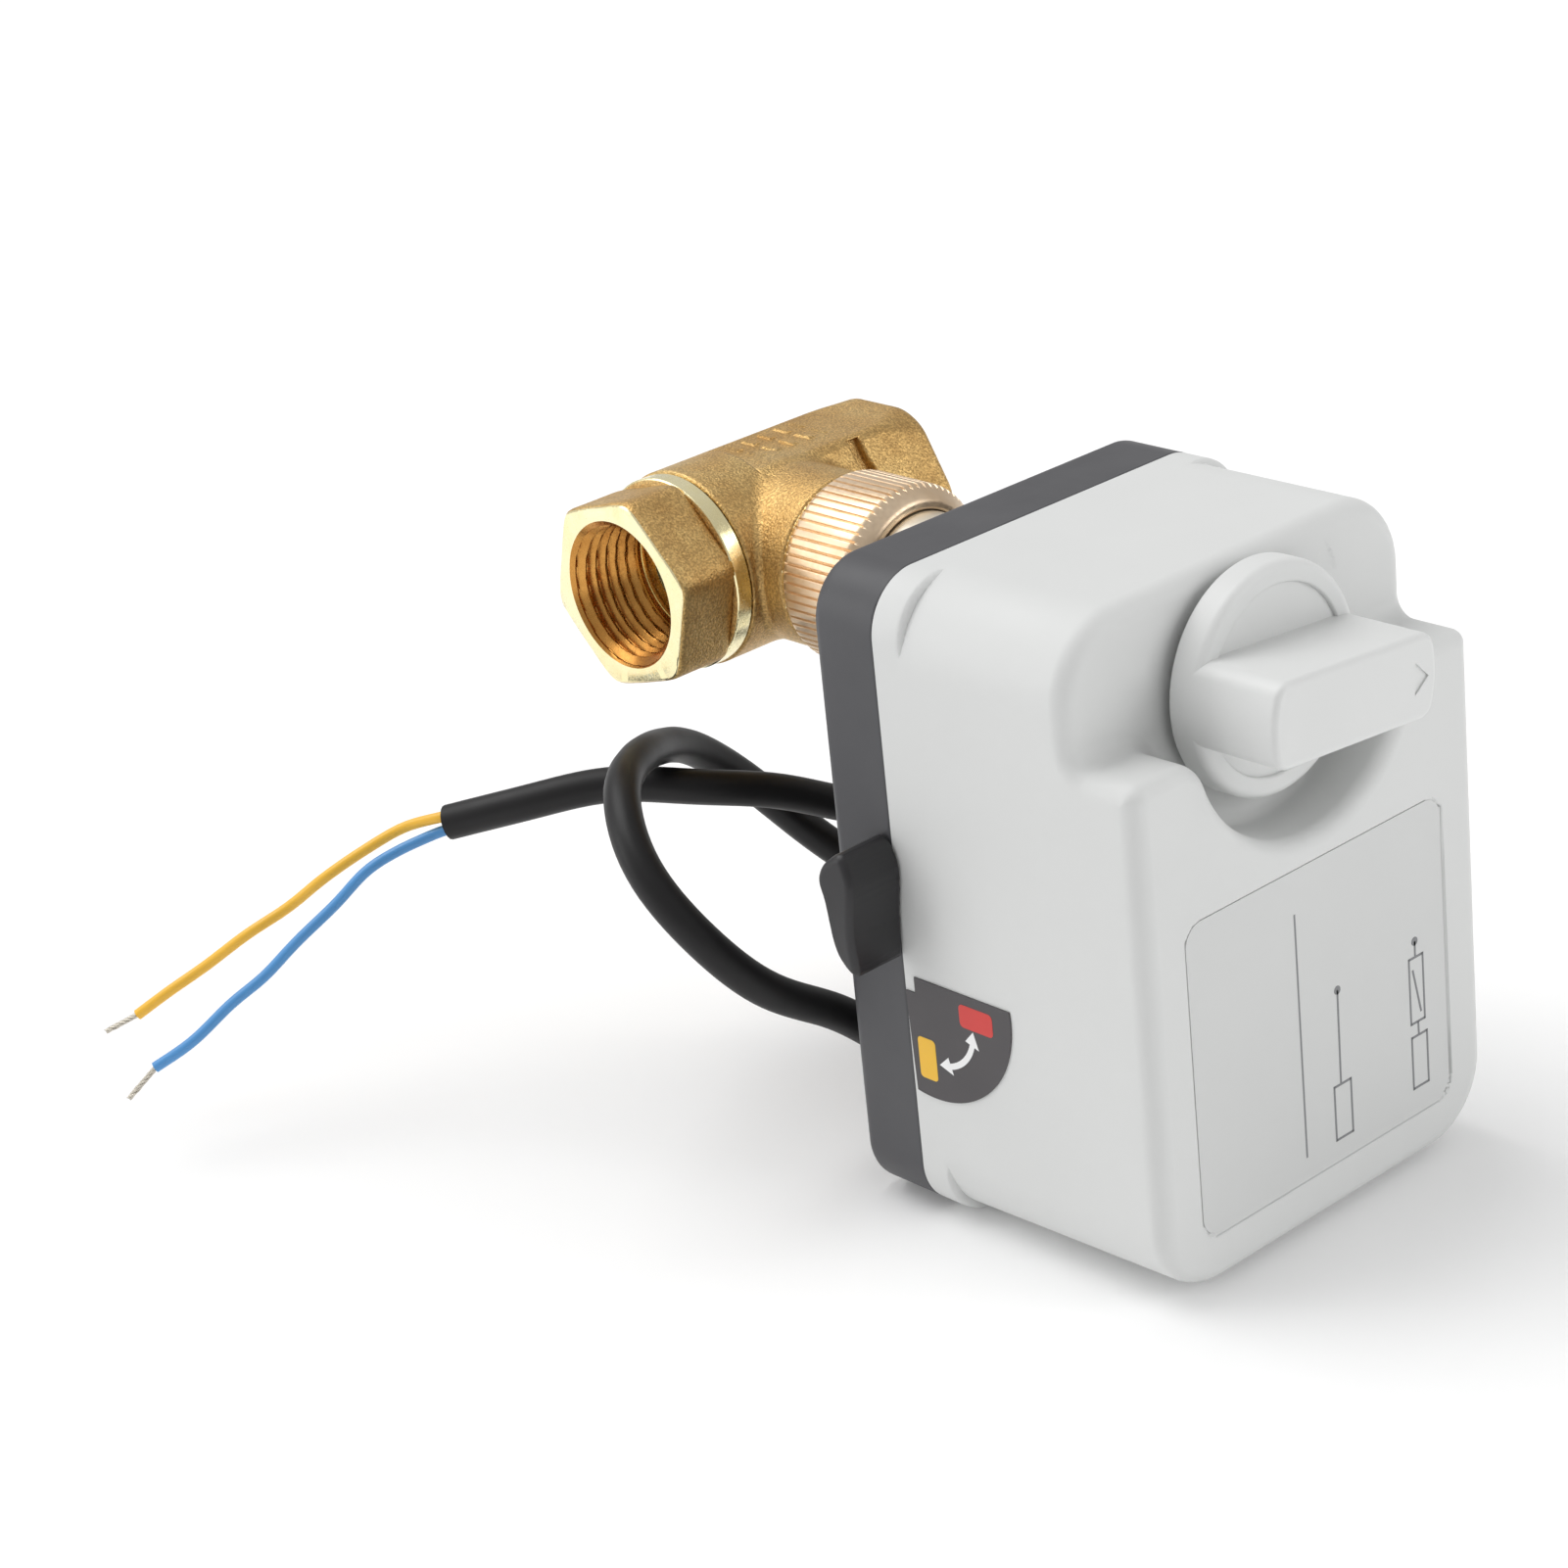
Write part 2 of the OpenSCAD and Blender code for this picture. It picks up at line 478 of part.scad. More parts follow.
// A smooth curve through hand-set points: k steps between each pair
function smooth(p, k) = concat([for (i = [0 : len(p) - 2], j = [0 : k - 1])
  let (a = p[max(i - 1, 0)], b = p[i], c = p[i + 1], d = p[min(i + 2, len(p) - 1)], t = j / k)
  b + (c - a) / 2 * t + (a - 2.5 * b + 2 * c - d / 2) * t * t + (1.5 * (b - c) + (d - a) / 2) * t * t * t], [p[len(p) - 1]]);
sheath_route = smooth(sheath_points, 1);
sheath_end = sheath_points[len(sheath_points) - 1];
sheath_way = unit(sheath_end - sheath_points[len(sheath_points) - 2]);
sheath_side = carry([0, 0, 1], sheath_way);
// Each wire starts inside the sheath's end, above or below its middle
function wire_start(s) = [sheath_end - 1.5 * sheath_way + 0.95 * s * sheath_side, sheath_end + 1.5 * sheath_way + 1.05 * s * sheath_side];
yellow_route = concat([wire_start(1)[0]], smooth(concat([wire_start(1)[1]], yellow_points), 2));
blue_route = concat([wire_start(-1)[0]], smooth(concat([wire_start(-1)[1]], blue_points), 2));
yellow_tip = [yellow_points[len(yellow_points) - 1], yellow_end];
blue_tip = [blue_points[len(blue_points) - 1], blue_end];
function unit(v) = v / norm(v);
function heading(p, i) = unit(p[min(i + 1, len(p) - 1)] - p[max(i - 1, 0)]);
// a side vector carried along the route, so that the rings don't twist
function carry(s, h) = unit(s - (s * h) * h);
function sides(p, i = 0, s = [0, 0, 1]) = i == len(p) ? [] : let (n = carry(s, heading(p, i))) concat([n], sides(p, i + 1, n));
module tube(p, r, n) {
  s = sides(p, 0, abs(heading(p, 0) * [0, 0, 1]) > 0.9 ? [1, 0, 0] : [0, 0, 1]);
  pts = [for (i = [0 : len(p) - 1]) let (h = i == 0 ? unit(p[1] - p[0]) : heading(p, i), u = carry(s[i], h), v = cross(h, u))
    for (k = [0 : n - 1]) p[i] + r * (cos(k * 360 / n) * u + sin(k * 360 / n) * v)];
  m = len(p);
  polyhedron(pts, concat([[for (k = [0 : n - 1]) k]], [[for (k = [n - 1 : -1 : 0]) (m - 1) * n + k]],
    [for (i = [0 : m - 2], k = [0 : n - 1]) let (a = i * n + k, b = i * n + (k + 1) % n, c = a + n, d = b + n) each [[a, c, b], [b, c, d]]]), convexity = 10);
}
module cable_sheath() color("black") row() tube(sheath_route, sheath_dia / 2, 10);
module wire_yellow() color("gold") row() tube(yellow_route, wire_dia / 2, 8);
module wire_blue() color("dodgerblue") row() tube(blue_route, wire_dia / 2, 8);
module wire_tips() color("silver") row() { tube(yellow_tip, 0.4, 8); tube(blue_tip, 0.4, 8); }

valve_body();
end_adapter();
ball();
ball_seats();
valve_stem();
stem_orings();
thrust_washer();
union_nut();
nut_slip_washer();
actuator_neck();
neck_retaining_ring();
neck_screws();
back_plate();
front_cover();
cover_gasket();
cover_screws();
front_label();
mode_label();
knob();
knob_shaft_oring();
clutch_lever();
lever_oring();
clutch_crank();
clutch_yoke();
yoke_guide_rods();
output_shaft();
output_gear();
limit_cam();
idler_gear();
idler_arbor();
motor_pinion();
gear_plate();
output_bush();
plate_screws();
motor_can();
motor_flange();
motor_screws();
limit_switches();
switch_plungers();
switch_screws();
board_spacers();
circuit_board();
board_screws();
relay();
capacitor();
terminal_block();
cable_gland();
gland_nut();
cable_sheath();
wire_yellow();
wire_blue();
wire_tips();
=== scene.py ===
import math

import bmesh
import bpy
import numpy as np
from mathutils import Matrix, Vector


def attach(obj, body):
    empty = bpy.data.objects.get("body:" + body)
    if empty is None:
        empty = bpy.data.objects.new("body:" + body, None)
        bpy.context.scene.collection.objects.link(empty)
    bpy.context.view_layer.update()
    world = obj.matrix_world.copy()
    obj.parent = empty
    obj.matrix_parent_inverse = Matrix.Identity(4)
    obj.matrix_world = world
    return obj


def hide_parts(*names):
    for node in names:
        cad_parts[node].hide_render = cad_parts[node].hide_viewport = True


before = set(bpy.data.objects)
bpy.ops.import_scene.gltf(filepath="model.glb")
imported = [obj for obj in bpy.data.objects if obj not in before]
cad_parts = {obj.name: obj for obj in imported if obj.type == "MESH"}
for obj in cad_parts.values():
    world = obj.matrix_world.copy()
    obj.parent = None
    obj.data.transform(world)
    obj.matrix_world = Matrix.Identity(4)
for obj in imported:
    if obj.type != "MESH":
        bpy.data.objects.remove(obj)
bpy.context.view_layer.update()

# All shapes below are drawn in millimetres about the ball's centre: x along the pipe, -y towards the front, z up.
# D is the depth from the housing's back face towards the front.
ORIGIN = np.array([-26.0, 0.0, 0.0])
BACK = 46.0


def to_m(p):
    return (np.asarray(p, float) + ORIGIN) / 1000.0


def V(x, y, z):
    return Vector(to_m((x, y, z)))


def lin(r, g, b):
    """A colour from 0-255 display values to linear."""
    out = []
    for c in (r, g, b):
        c /= 255.0
        out.append(c / 12.92 if c <= 0.04045 else ((c + 0.055) / 1.055) ** 2.4)
    return (*out, 1.0)


# ---------------------------------------------------------------- camera
def make_camera():
    cam_data = bpy.data.cameras.new("camera")
    cam = bpy.data.objects.new("camera", cam_data)
    bpy.context.scene.collection.objects.link(cam)
    bpy.context.scene.camera = cam
    cam_data.sensor_width = 36.0
    cam_data.lens = 88.32
    cam_data.clip_start = 0.05
    cam_data.clip_end = 20.0
    az, el, roll = math.radians(-40.23), math.radians(23.09), math.radians(-6.29)
    back = np.array([math.sin(az) * math.cos(el), -math.cos(az) * math.cos(el), math.sin(el)])
    right = np.cross(-back, [0, 0, 1.0])
    right /= np.linalg.norm(right)
    up = np.cross(right, -back)
    r1 = right * math.cos(roll) + up * math.sin(roll)
    u1 = -right * math.sin(roll) + up * math.cos(roll)
    place = Vector((-0.35776, -0.39175, 0.18103))
    cam.matrix_world = Matrix((
        (r1[0], u1[0], back[0], place.x),
        (r1[1], u1[1], back[1], place.y),
        (r1[2], u1[2], back[2], place.z),
        (0, 0, 0, 1)))
    return cam


make_camera()

# ---------------------------------------------------------------- materials
MATS = {}


class Mat:
    """A small helper round a node tree."""

    def __init__(self, name):
        self.m = bpy.data.materials.new(name)
        self.m.use_nodes = True
        self.t = self.m.node_tree
        self.t.nodes.clear()
        self.out = self.t.nodes.new("ShaderNodeOutputMaterial")
        self.p = self.t.nodes.new("ShaderNodeBsdfPrincipled")
        self.t.links.new(self.p.outputs["BSDF"], self.out.inputs["Surface"])
        self.co = self.t.nodes.new("ShaderNodeTexCoord").outputs["Object"]
        MATS[name] = self.m

    def new(self, kind, **sets):
        n = self.t.nodes.new(kind)
        for k, v in sets.items():
            if k.startswith("i_"):
                n.inputs[k[2:].replace("_", " ")].default_value = v
            else:
                setattr(n, k, v)
        return n

    def link(self, a, b):
        self.t.links.new(a, b)

    def noise(self, scale, detail=3.0, rough=0.55, co=None, dist=0.0):
        n = self.new("ShaderNodeTexNoise", i_Scale=scale, i_Detail=detail, i_Roughness=rough, i_Distortion=dist)
        self.link(co or self.co, n.inputs["Vector"])
        return n.outputs["Fac"]

    def voronoi(self, scale, feature="F1", co=None):
        n = self.new("ShaderNodeTexVoronoi", i_Scale=scale)
        n.feature = feature
        self.link(co or self.co, n.inputs["Vector"])
        return n.outputs["Distance"]

    def stretch(self, sx, sy, sz):
        n = self.new("ShaderNodeMapping")
        n.inputs["Scale"].default_value = (sx, sy, sz)
        self.link(self.co, n.inputs["Vector"])
        return n.outputs["Vector"]

    def ramp(self, fac, stops):
        n = self.new("ShaderNodeValToRGB")
        e = n.color_ramp.elements
        while len(e) < len(stops):
            e.new(0.5)
        for i, (pos, col) in enumerate(stops):
            e[i].position = pos
            e[i].color = col if len(col) == 4 else (*col, 1)
        self.link(fac, n.inputs["Fac"])
        return n.outputs["Color"]

    def mapr(self, v, a, b, c, d):
        n = self.new("ShaderNodeMapRange")
        n.inputs["From Min"].default_value = a
        n.inputs["From Max"].default_value = b
        n.inputs["To Min"].default_value = c
        n.inputs["To Max"].default_value = d
        self.link(v, n.inputs["Value"])
        return n.outputs["Result"]

    def math(self, op, a, b):
        n = self.new("ShaderNodeMath", operation=op)
        for i, v in enumerate((a, b)):
            if isinstance(v, (int, float)):
                n.inputs[i].default_value = v
            else:
                self.link(v, n.inputs[i])
        return n.outputs[0]

    def mix(self, fac, a, b, mode="MIX"):
        n = self.new("ShaderNodeMix", data_type="RGBA", blend_type=mode)
        if isinstance(fac, (int, float)):
            n.inputs["Factor"].default_value = fac
        else:
            self.link(fac, n.inputs["Factor"])
        for key, v in (("A", a), ("B", b)):
            s = [s for s in n.inputs if s.name == key and s.type == "RGBA"][0]
            if isinstance(v, tuple):
                s.default_value = v
            else:
                self.link(v, s)
        return [o for o in n.outputs if o.type == "RGBA"][0]

    def bump(self, height, strength, distance, after=None):
        n = self.new("ShaderNodeBump")
        n.inputs["Strength"].default_value = strength
        n.inputs["Distance"].default_value = distance
        self.link(height, n.inputs["Height"])
        if after is not None:
            self.link(after, n.inputs["Normal"])
        return n.outputs["Normal"]

    def put(self, socket, v):
        s = self.p.inputs[socket]
        if isinstance(v, (int, float, tuple)):
            s.default_value = v
        else:
            self.link(v, s)
        return self


def tint(c, f):
    return (min(1, c[0] * f), min(1, c[1] * f), min(1, c[2] * f), 1.0)


def plastic(name, col, rough=0.5, grain=2600.0, depth=0.02, var=0.05, spec=0.4, streak=0.0, dust=0.0):
    """Moulded plastic: fine spark texture, faint cloudy tone, slight changes of gloss."""
    m = Mat(name)
    cloud = m.noise(38.0, 4.0)
    base = m.ramp(cloud, [(0.3, tint(col, 1 - var)), (0.7, tint(col, 1 + var))])
    if dust:
        specks = m.ramp(m.noise(900.0, 2.0, 0.7), [(0.72, (0, 0, 0)), (0.8, (1, 1, 1))])
        base = m.mix(m.math("MULTIPLY", specks, dust), base, tint(col, 2.2 if col[0] < 0.3 else 0.75))
    m.put("Base Color", base)
    m.put("Roughness", m.mapr(m.noise(90.0, 3.0), 0.3, 0.7, rough - 0.05, rough + 0.07))
    m.put("Specular IOR Level", spec)
    m.put("Normal", m.bump(m.noise(grain, 2.0, 0.6), 0.35, depth / 1000.0))
    return m.m


def metal(name, col, rough=0.3, brush=None, grain=1500.0, depth=0.01, var=0.06, tarnish=None):
    m = Mat(name)
    co = m.stretch(*brush) if brush else None
    lines = m.noise(grain, 3.0, 0.6, co=co)
    cloud = m.noise(55.0, 4.0)
    base = m.ramp(cloud, [(0.3, tint(col, 1 - var)), (0.7, tint(col, 1 + var))])
    if tarnish:
        base = m.mix(m.mapr(m.noise(120.0, 5.0, 0.7), 0.52, 0.75, 0.0, 0.6), base, tarnish)
    m.put("Base Color", base)
    m.put("Metallic", 1.0)
    m.put("Roughness", m.mapr(lines, 0.25, 0.75, max(0.04, rough - 0.08), rough + 0.1))
    m.put("Normal", m.bump(lines, 0.4, depth / 1000.0))
    return m.m


def cast_brass():
    """Hot-forged, shot-blasted brass: coarse grain and darker brown patches where it has aged; painted shade darkens
    the grain's low points and a painted highlight leaves its high points bright.
    """
    m = Mat("brass_cast")
    grain = m.noise(3000.0, 3.0, 0.6)
    pits = m.voronoi(2700.0)
    patches = m.noise(70.0, 5.0, 0.65)
    warm = m.ramp(patches, [(0.32, lin(206, 166, 104)), (0.5, lin(226, 188, 122)), (0.68, lin(240, 208, 142))])
    # painted shade and highlight: where the grain noise is low the warm colour is mixed with a dark shade colour, where
    # it is high it stays warm; the same noise raises the bump
    crest_highlight_and_pit_shade = m.mapr(grain, 0.42, 0.62, 0.0, 1.0)
    base = m.mix(crest_highlight_and_pit_shade, m.mix(0.46, warm, lin(104, 72, 42)), warm)
    m.put("Base Color", base)
    m.put("Metallic", 1.0)
    m.put("Roughness", m.mapr(patches, 0.3, 0.7, 0.52, 0.38))
    rise = m.math("ADD", m.math("MULTIPLY", grain, 1.0), m.math("MULTIPLY", pits, 0.6))
    n1 = m.bump(rise, 0.8, 0.00013)
    m.put("Normal", m.bump(m.noise(900.0, 3.0, 0.55), 0.3, 0.00018, after=n1))
    return m.m


def turned_brass(name="brass_turned", a=lin(254, 244, 200), b=lin(252, 236, 178), rough=0.2, rings=(1.0, 1.0, 1.0), grain=2600.0, marks=0.35):
    """Machined brass: bright, with fine tool marks from a noise that rings can stretch."""
    m = Mat(name)
    tool = m.noise(grain, 2.0, 0.5, co=m.stretch(*rings))
    cloud = m.noise(140.0, 4.0, 0.6)
    m.put("Base Color", m.ramp(cloud, [(0.3, b), (0.62, a)]))
    m.put("Metallic", 1.0)
    m.put("Roughness", m.mapr(tool, 0.3, 0.7, rough - 0.05, rough + 0.1))
    m.put("Normal", m.bump(tool, marks, 0.00002))
    return m.m


plastic("cover_grey", lin(214, 215, 214), rough=0.5, grain=2400.0, depth=0.012, var=0.012, spec=0.45)
plastic("knob_grey", lin(217, 218, 217), rough=0.42, grain=2800.0, depth=0.008, var=0.012, spec=0.5)
plastic("base_charcoal", lin(72, 72, 75), rough=0.46, grain=3000.0, depth=0.02, var=0.05, spec=0.5, dust=0.15)
plastic("lever_black", lin(38, 37, 39), rough=0.4, grain=2600.0, depth=0.015, var=0.06, spec=0.45, dust=0.1)
plastic("label_grey", lin(206, 207, 206), rough=0.36, grain=5200.0, depth=0.004, var=0.01, spec=0.5)
plastic("print_grey", lin(128, 129, 131), rough=0.4, grain=5200.0, depth=0.003, var=0.03, spec=0.4)
plastic("film_dark", lin(72, 69, 71), rough=0.42, grain=4200.0, depth=0.006, var=0.04, spec=0.45, dust=0.1)
plastic("film_red", lin(206, 62, 58), rough=0.4, grain=4200.0, depth=0.004, var=0.04, spec=0.4)
plastic("film_yellow", lin(236, 186, 58), rough=0.4, grain=4200.0, depth=0.004, var=0.04, spec=0.4)
plastic("film_white", lin(240, 240, 240), rough=0.4, grain=4200.0, depth=0.004, var=0.02, spec=0.4)
plastic("cable_black", lin(27, 26, 27), rough=0.46, grain=1900.0, depth=0.02, var=0.08, spec=0.3, dust=0.1)
plastic("wire_yellow", lin(246, 190, 62), rough=0.33, grain=2600.0, depth=0.008, var=0.04, spec=0.5)
plastic("wire_blue", lin(84, 150, 210), rough=0.33, grain=2600.0, depth=0.008, var=0.04, spec=0.5)
plastic("seal_rubber", lin(34, 34, 35), rough=0.5, grain=1800.0, depth=0.02, var=0.08)
plastic("ptfe", lin(236, 235, 228), rough=0.38, grain=1600.0, depth=0.006, var=0.02)
plastic("acetal", lin(228, 226, 215), rough=0.35, grain=1600.0, depth=0.006, var=0.03)
plastic("switch_black", lin(40, 40, 43), rough=0.4, grain=2400.0, depth=0.01, var=0.05)
plastic("relay_blue", lin(40, 84, 160), rough=0.3, grain=2400.0, depth=0.008, var=0.04)
plastic("capacitor_yellow", lin(214, 160, 48), rough=0.32, grain=1500.0, depth=0.012, var=0.05)
plastic("terminal_green", lin(70, 140, 80), rough=0.36, grain=2400.0, depth=0.01, var=0.05)
cast_brass()
turned_brass()
# painted shade: the threads sit inside the bores, so they get a darker, deeper-coloured copy of the turned brass in
# place of the shade there
turned_brass("brass_thread_painted_shade", lin(206, 150, 78), lin(178, 118, 54), rough=0.24, marks=0.08)
turned_brass("brass_nut", lin(238, 214, 184), lin(228, 200, 166), rough=0.34, grain=1400.0, marks=0.06)
metal("nickel", lin(242, 237, 224), rough=0.36, brush=(1.0, 6.0, 1.0), grain=1800.0, depth=0.006, var=0.05)
metal("zinc", lin(196, 200, 204), rough=0.3, grain=1300.0, depth=0.01, var=0.08, tarnish=lin(168, 160, 130))
metal("spring_steel", lin(92, 84, 74), rough=0.34, grain=1500.0, depth=0.01, var=0.1)
metal("chromed", lin(214, 216, 218), rough=0.07, grain=900.0, depth=0.002, var=0.02)
metal("motor_steel", lin(188, 188, 184), rough=0.34, brush=(1.0, 0.15, 1.0), grain=900.0, depth=0.008, var=0.06)
metal("tinned", lin(206, 200, 188), rough=0.26, grain=3000.0, depth=0.02, var=0.08)


def board_mat():
    m = Mat("board_green")
    tracks = m.new("ShaderNodeTexBrick", i_Scale=160.0)
    tracks.inputs["Mortar Size"].default_value = 0.06
    tracks.inputs["Color1"].default_value = lin(16, 92, 52)
    tracks.inputs["Color2"].default_value = lin(22, 104, 58)
    tracks.inputs["Mortar"].default_value = lin(40, 128, 74)
    swap = m.new("ShaderNodeMapping")
    swap.inputs["Rotation"].default_value = (math.pi / 2, 0, 0)
    m.link(m.co, swap.inputs["Vector"])
    m.link(swap.outputs["Vector"], tracks.inputs["Vector"])
    m.put("Base Color", tracks.outputs["Color"])
    m.put("Roughness", m.mapr(m.noise(120.0), 0.3, 0.7, 0.25, 0.4))
    m.put("Normal", m.bump(tracks.outputs["Fac"], 0.3, 0.00003))
    return m.m


board_mat()

# ---------------------------------------------------------------- mesh helpers


def finish_piece(o, body, replaced=(), smooth=True, angle=None):
    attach(o, body)
    if replaced:
        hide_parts(*replaced)
    return o


def mesh_object(name, verts, faces, mats, mat_index=None, smooth=True):
    me = bpy.data.meshes.new(name)
    me.from_pydata([tuple(v) for v in to_m(verts)], [], [tuple(f) for f in faces])
    o = bpy.data.objects.new(name, me)
    bpy.context.scene.collection.objects.link(o)
    for m in mats:
        me.materials.append(MATS[m])
    if mat_index is not None:
        me.polygons.foreach_set("material_index", np.asarray(mat_index, np.int32))
    if smooth:
        me.polygons.foreach_set("use_smooth", np.ones(len(me.polygons), bool))
    me.update()
    return o


def big_mesh(name, verts, quads, mats, mat_index=None):
    """A quad mesh from arrays, fast."""
    verts = to_m(verts).astype(np.float32)
    quads = np.asarray(quads, np.int32)
    me = bpy.data.meshes.new(name)
    me.vertices.add(len(verts))
    me.vertices.foreach_set("co", verts.ravel())
    me.loops.add(quads.size)
    me.loops.foreach_set("vertex_index", quads.ravel())
    me.polygons.add(len(quads))
    k = quads.shape[1]
    me.polygons.foreach_set("loop_start", np.arange(0, quads.size, k, dtype=np.int32))
    me.polygons.foreach_set("loop_total", np.full(len(quads), k, np.int32))
    me.polygons.foreach_set("use_smooth", np.ones(len(quads), bool))
    for m in mats:
        me.materials.append(MATS[m])
    if mat_index is not None:
        me.polygons.foreach_set("material_index", np.asarray(mat_index, np.int32))
    me.update(calc_edges=True)
    me.validate()
    o = bpy.data.objects.new(name, me)
    bpy.context.scene.collection.objects.link(o)
    return o


def modifier(o, kind, **sets):
    m = o.modifiers.new(kind.lower(), kind)
    for k, v in sets.items():
        setattr(m, k, v)
    return m


def apply_all(o):
    dg = bpy.context.evaluated_depsgraph_get()
    me = bpy.data.meshes.new_from_object(o.evaluated_get(dg))
    o.modifiers.clear()
    old = o.data
    o.data = me
    bpy.data.meshes.remove(old)
    return o


# ---- signed distances, in millimetres ----
def isect(a, b, r):
    return np.minimum(-r, np.maximum(a, b)) + np.hypot(np.maximum(r + a, 0), np.maximum(r + b, 0))


def union(a, b, r):
    return np.maximum(r, np.minimum(a, b)) - np.hypot(np.maximum(r - a, 0), np.maximum(r - b, 0))


def cut(a, b, r):
    return isect(a, -b, r)


def rr2(x, z, hx, zlo, zhi, r):
    cz, hz = (zlo + zhi) / 2, (zhi - zlo) / 2
    qx, qz = np.abs(x) - (hx - r), np.abs(z - cz) - (hz - r)
    return np.minimum(np.maximum(qx, qz), 0) + np.hypot(np.maximum(qx, 0), np.maximum(qz, 0)) - r


def slab(d, lo, hi):
    return np.maximum(lo - d, d - hi)


def poly2(x, z, pts):
    """Signed distance to a closed polygon."""
    pts = np.asarray(pts, float)
    d = np.full(x.shape, 1e9)
    inside = np.zeros(x.shape, bool)
    for i in range(len(pts)):
        a, b = pts[i - 1], pts[i]
        ex, ez = b - a
        wx, wz = x - a[0], z - a[1]
        t = np.clip((wx * ex + wz * ez) / (ex * ex + ez * ez), 0, 1)
        d = np.minimum(d, (wx - t * ex) ** 2 + (wz - t * ez) ** 2)
        with np.errstate(divide="ignore", invalid="ignore"):
            hit = ((a[1] > z) != (b[1] > z)) & (x < (b[0] - a[0]) * (z - a[1]) / (b[1] - a[1] + 1e-30) + a[0])
        inside ^= hit
    return np.where(inside, -1, 1) * np.sqrt(d)


def polar(name, rings, mats, bands, axis="x", centre=(0, 0, 0), closed=True, sharp=40.0, phase=None):
    """A ring-shaped solid: each ring is (a, r), where a is along the axis and r may be one number or one for each angle."""
    nt = max(np.size(r[1]) for r in rings)
    if nt == 1:
        nt = 96
    th = np.arange(nt) * 2 * math.pi / nt
    verts = []
    for a, r in rings:
        a, r = np.broadcast_to(np.asarray(a, float), (nt,)), np.broadcast_to(np.asarray(r, float), (nt,))
        c, s = r * np.cos(th), r * np.sin(th)
        if axis == "x":
            p = np.stack([a, c, s], 1)
        elif axis == "y":
            p = np.stack([s, a, c], 1)
        else:
            p = np.stack([c, s, a], 1)
        verts.append(p + np.asarray(centre, float))
    verts = np.concatenate(verts)
    m = len(rings)
    quads, index = [], []
    k = np.arange(nt)
    for i in range(m if closed else m - 1):
        j = (i + 1) % m
        quads.append(np.stack([i * nt + k, i * nt + (k + 1) % nt, j * nt + (k + 1) % nt, j * nt + k], 1))
        index.append(np.full(nt, bands[i] if np.ndim(bands) else bands))
    quads, index = np.concatenate(quads), np.concatenate(index)
    o = big_mesh(name, verts, quads, mats, index)
    bm = bmesh.new()
    bm.from_mesh(o.data)
    bmesh.ops.recalc_face_normals(bm, faces=bm.faces)
    bm.to_mesh(o.data)
    bm.free()
    if sharp:
        sharpen(o, sharp)
    return o


def sharpen(o, degrees):
    """Edges steeper than this are drawn sharp."""
    bm = bmesh.new()
    bm.from_mesh(o.data)
    lim = math.radians(degrees)
    for e in bm.edges:
        e.smooth = not (len(e.link_faces) == 2 and e.calc_face_angle(0) > lim)
    for f in bm.faces:
        f.smooth = True
    bm.to_mesh(o.data)
    bm.free()


def arc_steps(a0, r0, a1, r1, n=4, bulge=1):
    """Points of a quarter round between two (a, r) points, both ends included."""
    out = []
    for i in range(n + 1):
        t = i / n * math.pi / 2
        if bulge > 0:
            out.append((a0 + (a1 - a0) * (1 - math.cos(t)), r0 + (r1 - r0) * math.sin(t)))
        else:
            out.append((a0 + (a1 - a0) * math.sin(t), r0 + (r1 - r0) * (1 - math.cos(t))))
    return out


# ---------------------------------------------------------------- cords
SHEATH = [[8, -24, -55], [8, -17, -54], [5, -8, -50], [1, -1, -44], [-5, 3, -36], [-14, 3, -28], [-24, -2, -23],
          [-34, -9, -20], [-43, -17, -20], [-48, -26, -26], [-46, -34, -35], [-39, -38, -44], [-29, -39, -51],
          [-20, -39, -59], [-11, -40, -67], [0, -40, -70], [11, -36, -68], [18, -29, -61], [18, -21, -52],
          [11, -15, -44], [0, -12, -38], [-10, -9, -33], [-20, -4, -30], [-28, 5, -29], [-36, 14, -31], [-43, 24, -34]]
YELLOW = [[-47, 30, -35], [-52, 34, -38], [-57, 37, -41], [-61, 41, -45], [-67, 44, -48], [-72, 48, -52], [-77, 51, -55], [-81, 54, -58]]
BLUE = [[-49, 28, -37], [-54, 30, -39], [-59, 32, -43], [-65, 34, -47], [-70, 36, -51], [-75, 38, -54], [-81, 40, -58], [-86, 43, -61]]
YELLOW_END, BLUE_END = [-85, 57, -60], [-90, 45, -65]


def catmull(pts, k):
    p = np.asarray(pts, float)
    out = []
    for i in range(len(p) - 1):
        a, b, c, d = p[max(i - 1, 0)], p[i], p[i + 1], p[min(i + 2, len(p) - 1)]
        for j in range(k):
            t = j / k
            out.append(b + (c - a) / 2 * t + (a - 2.5 * b + 2 * c - d / 2) * t * t + (1.5 * (b - c) + (d - a) / 2) * t ** 3)
    out.append(p[-1])
    return np.array(out)


def even(p, n):
    s = np.r_[0, np.cumsum(np.linalg.norm(np.diff(p, axis=0), axis=1))]
    u = np.linspace(0, s[-1], n)
    return np.stack([np.interp(u, s, p[:, k]) for k in range(3)], 1)


def ironed(p, n, rounds):
    """Even steps along the route, with the small wobbles ironed out and the bends kept."""
    p = even(p, n)
    for _ in range(rounds):
        for lam in (0.5, -0.52):
            q = p.copy()
            q[2:-2] += lam * ((p[1:-3] + p[3:-1]) / 2 - p[2:-2])
            p = q
    return p


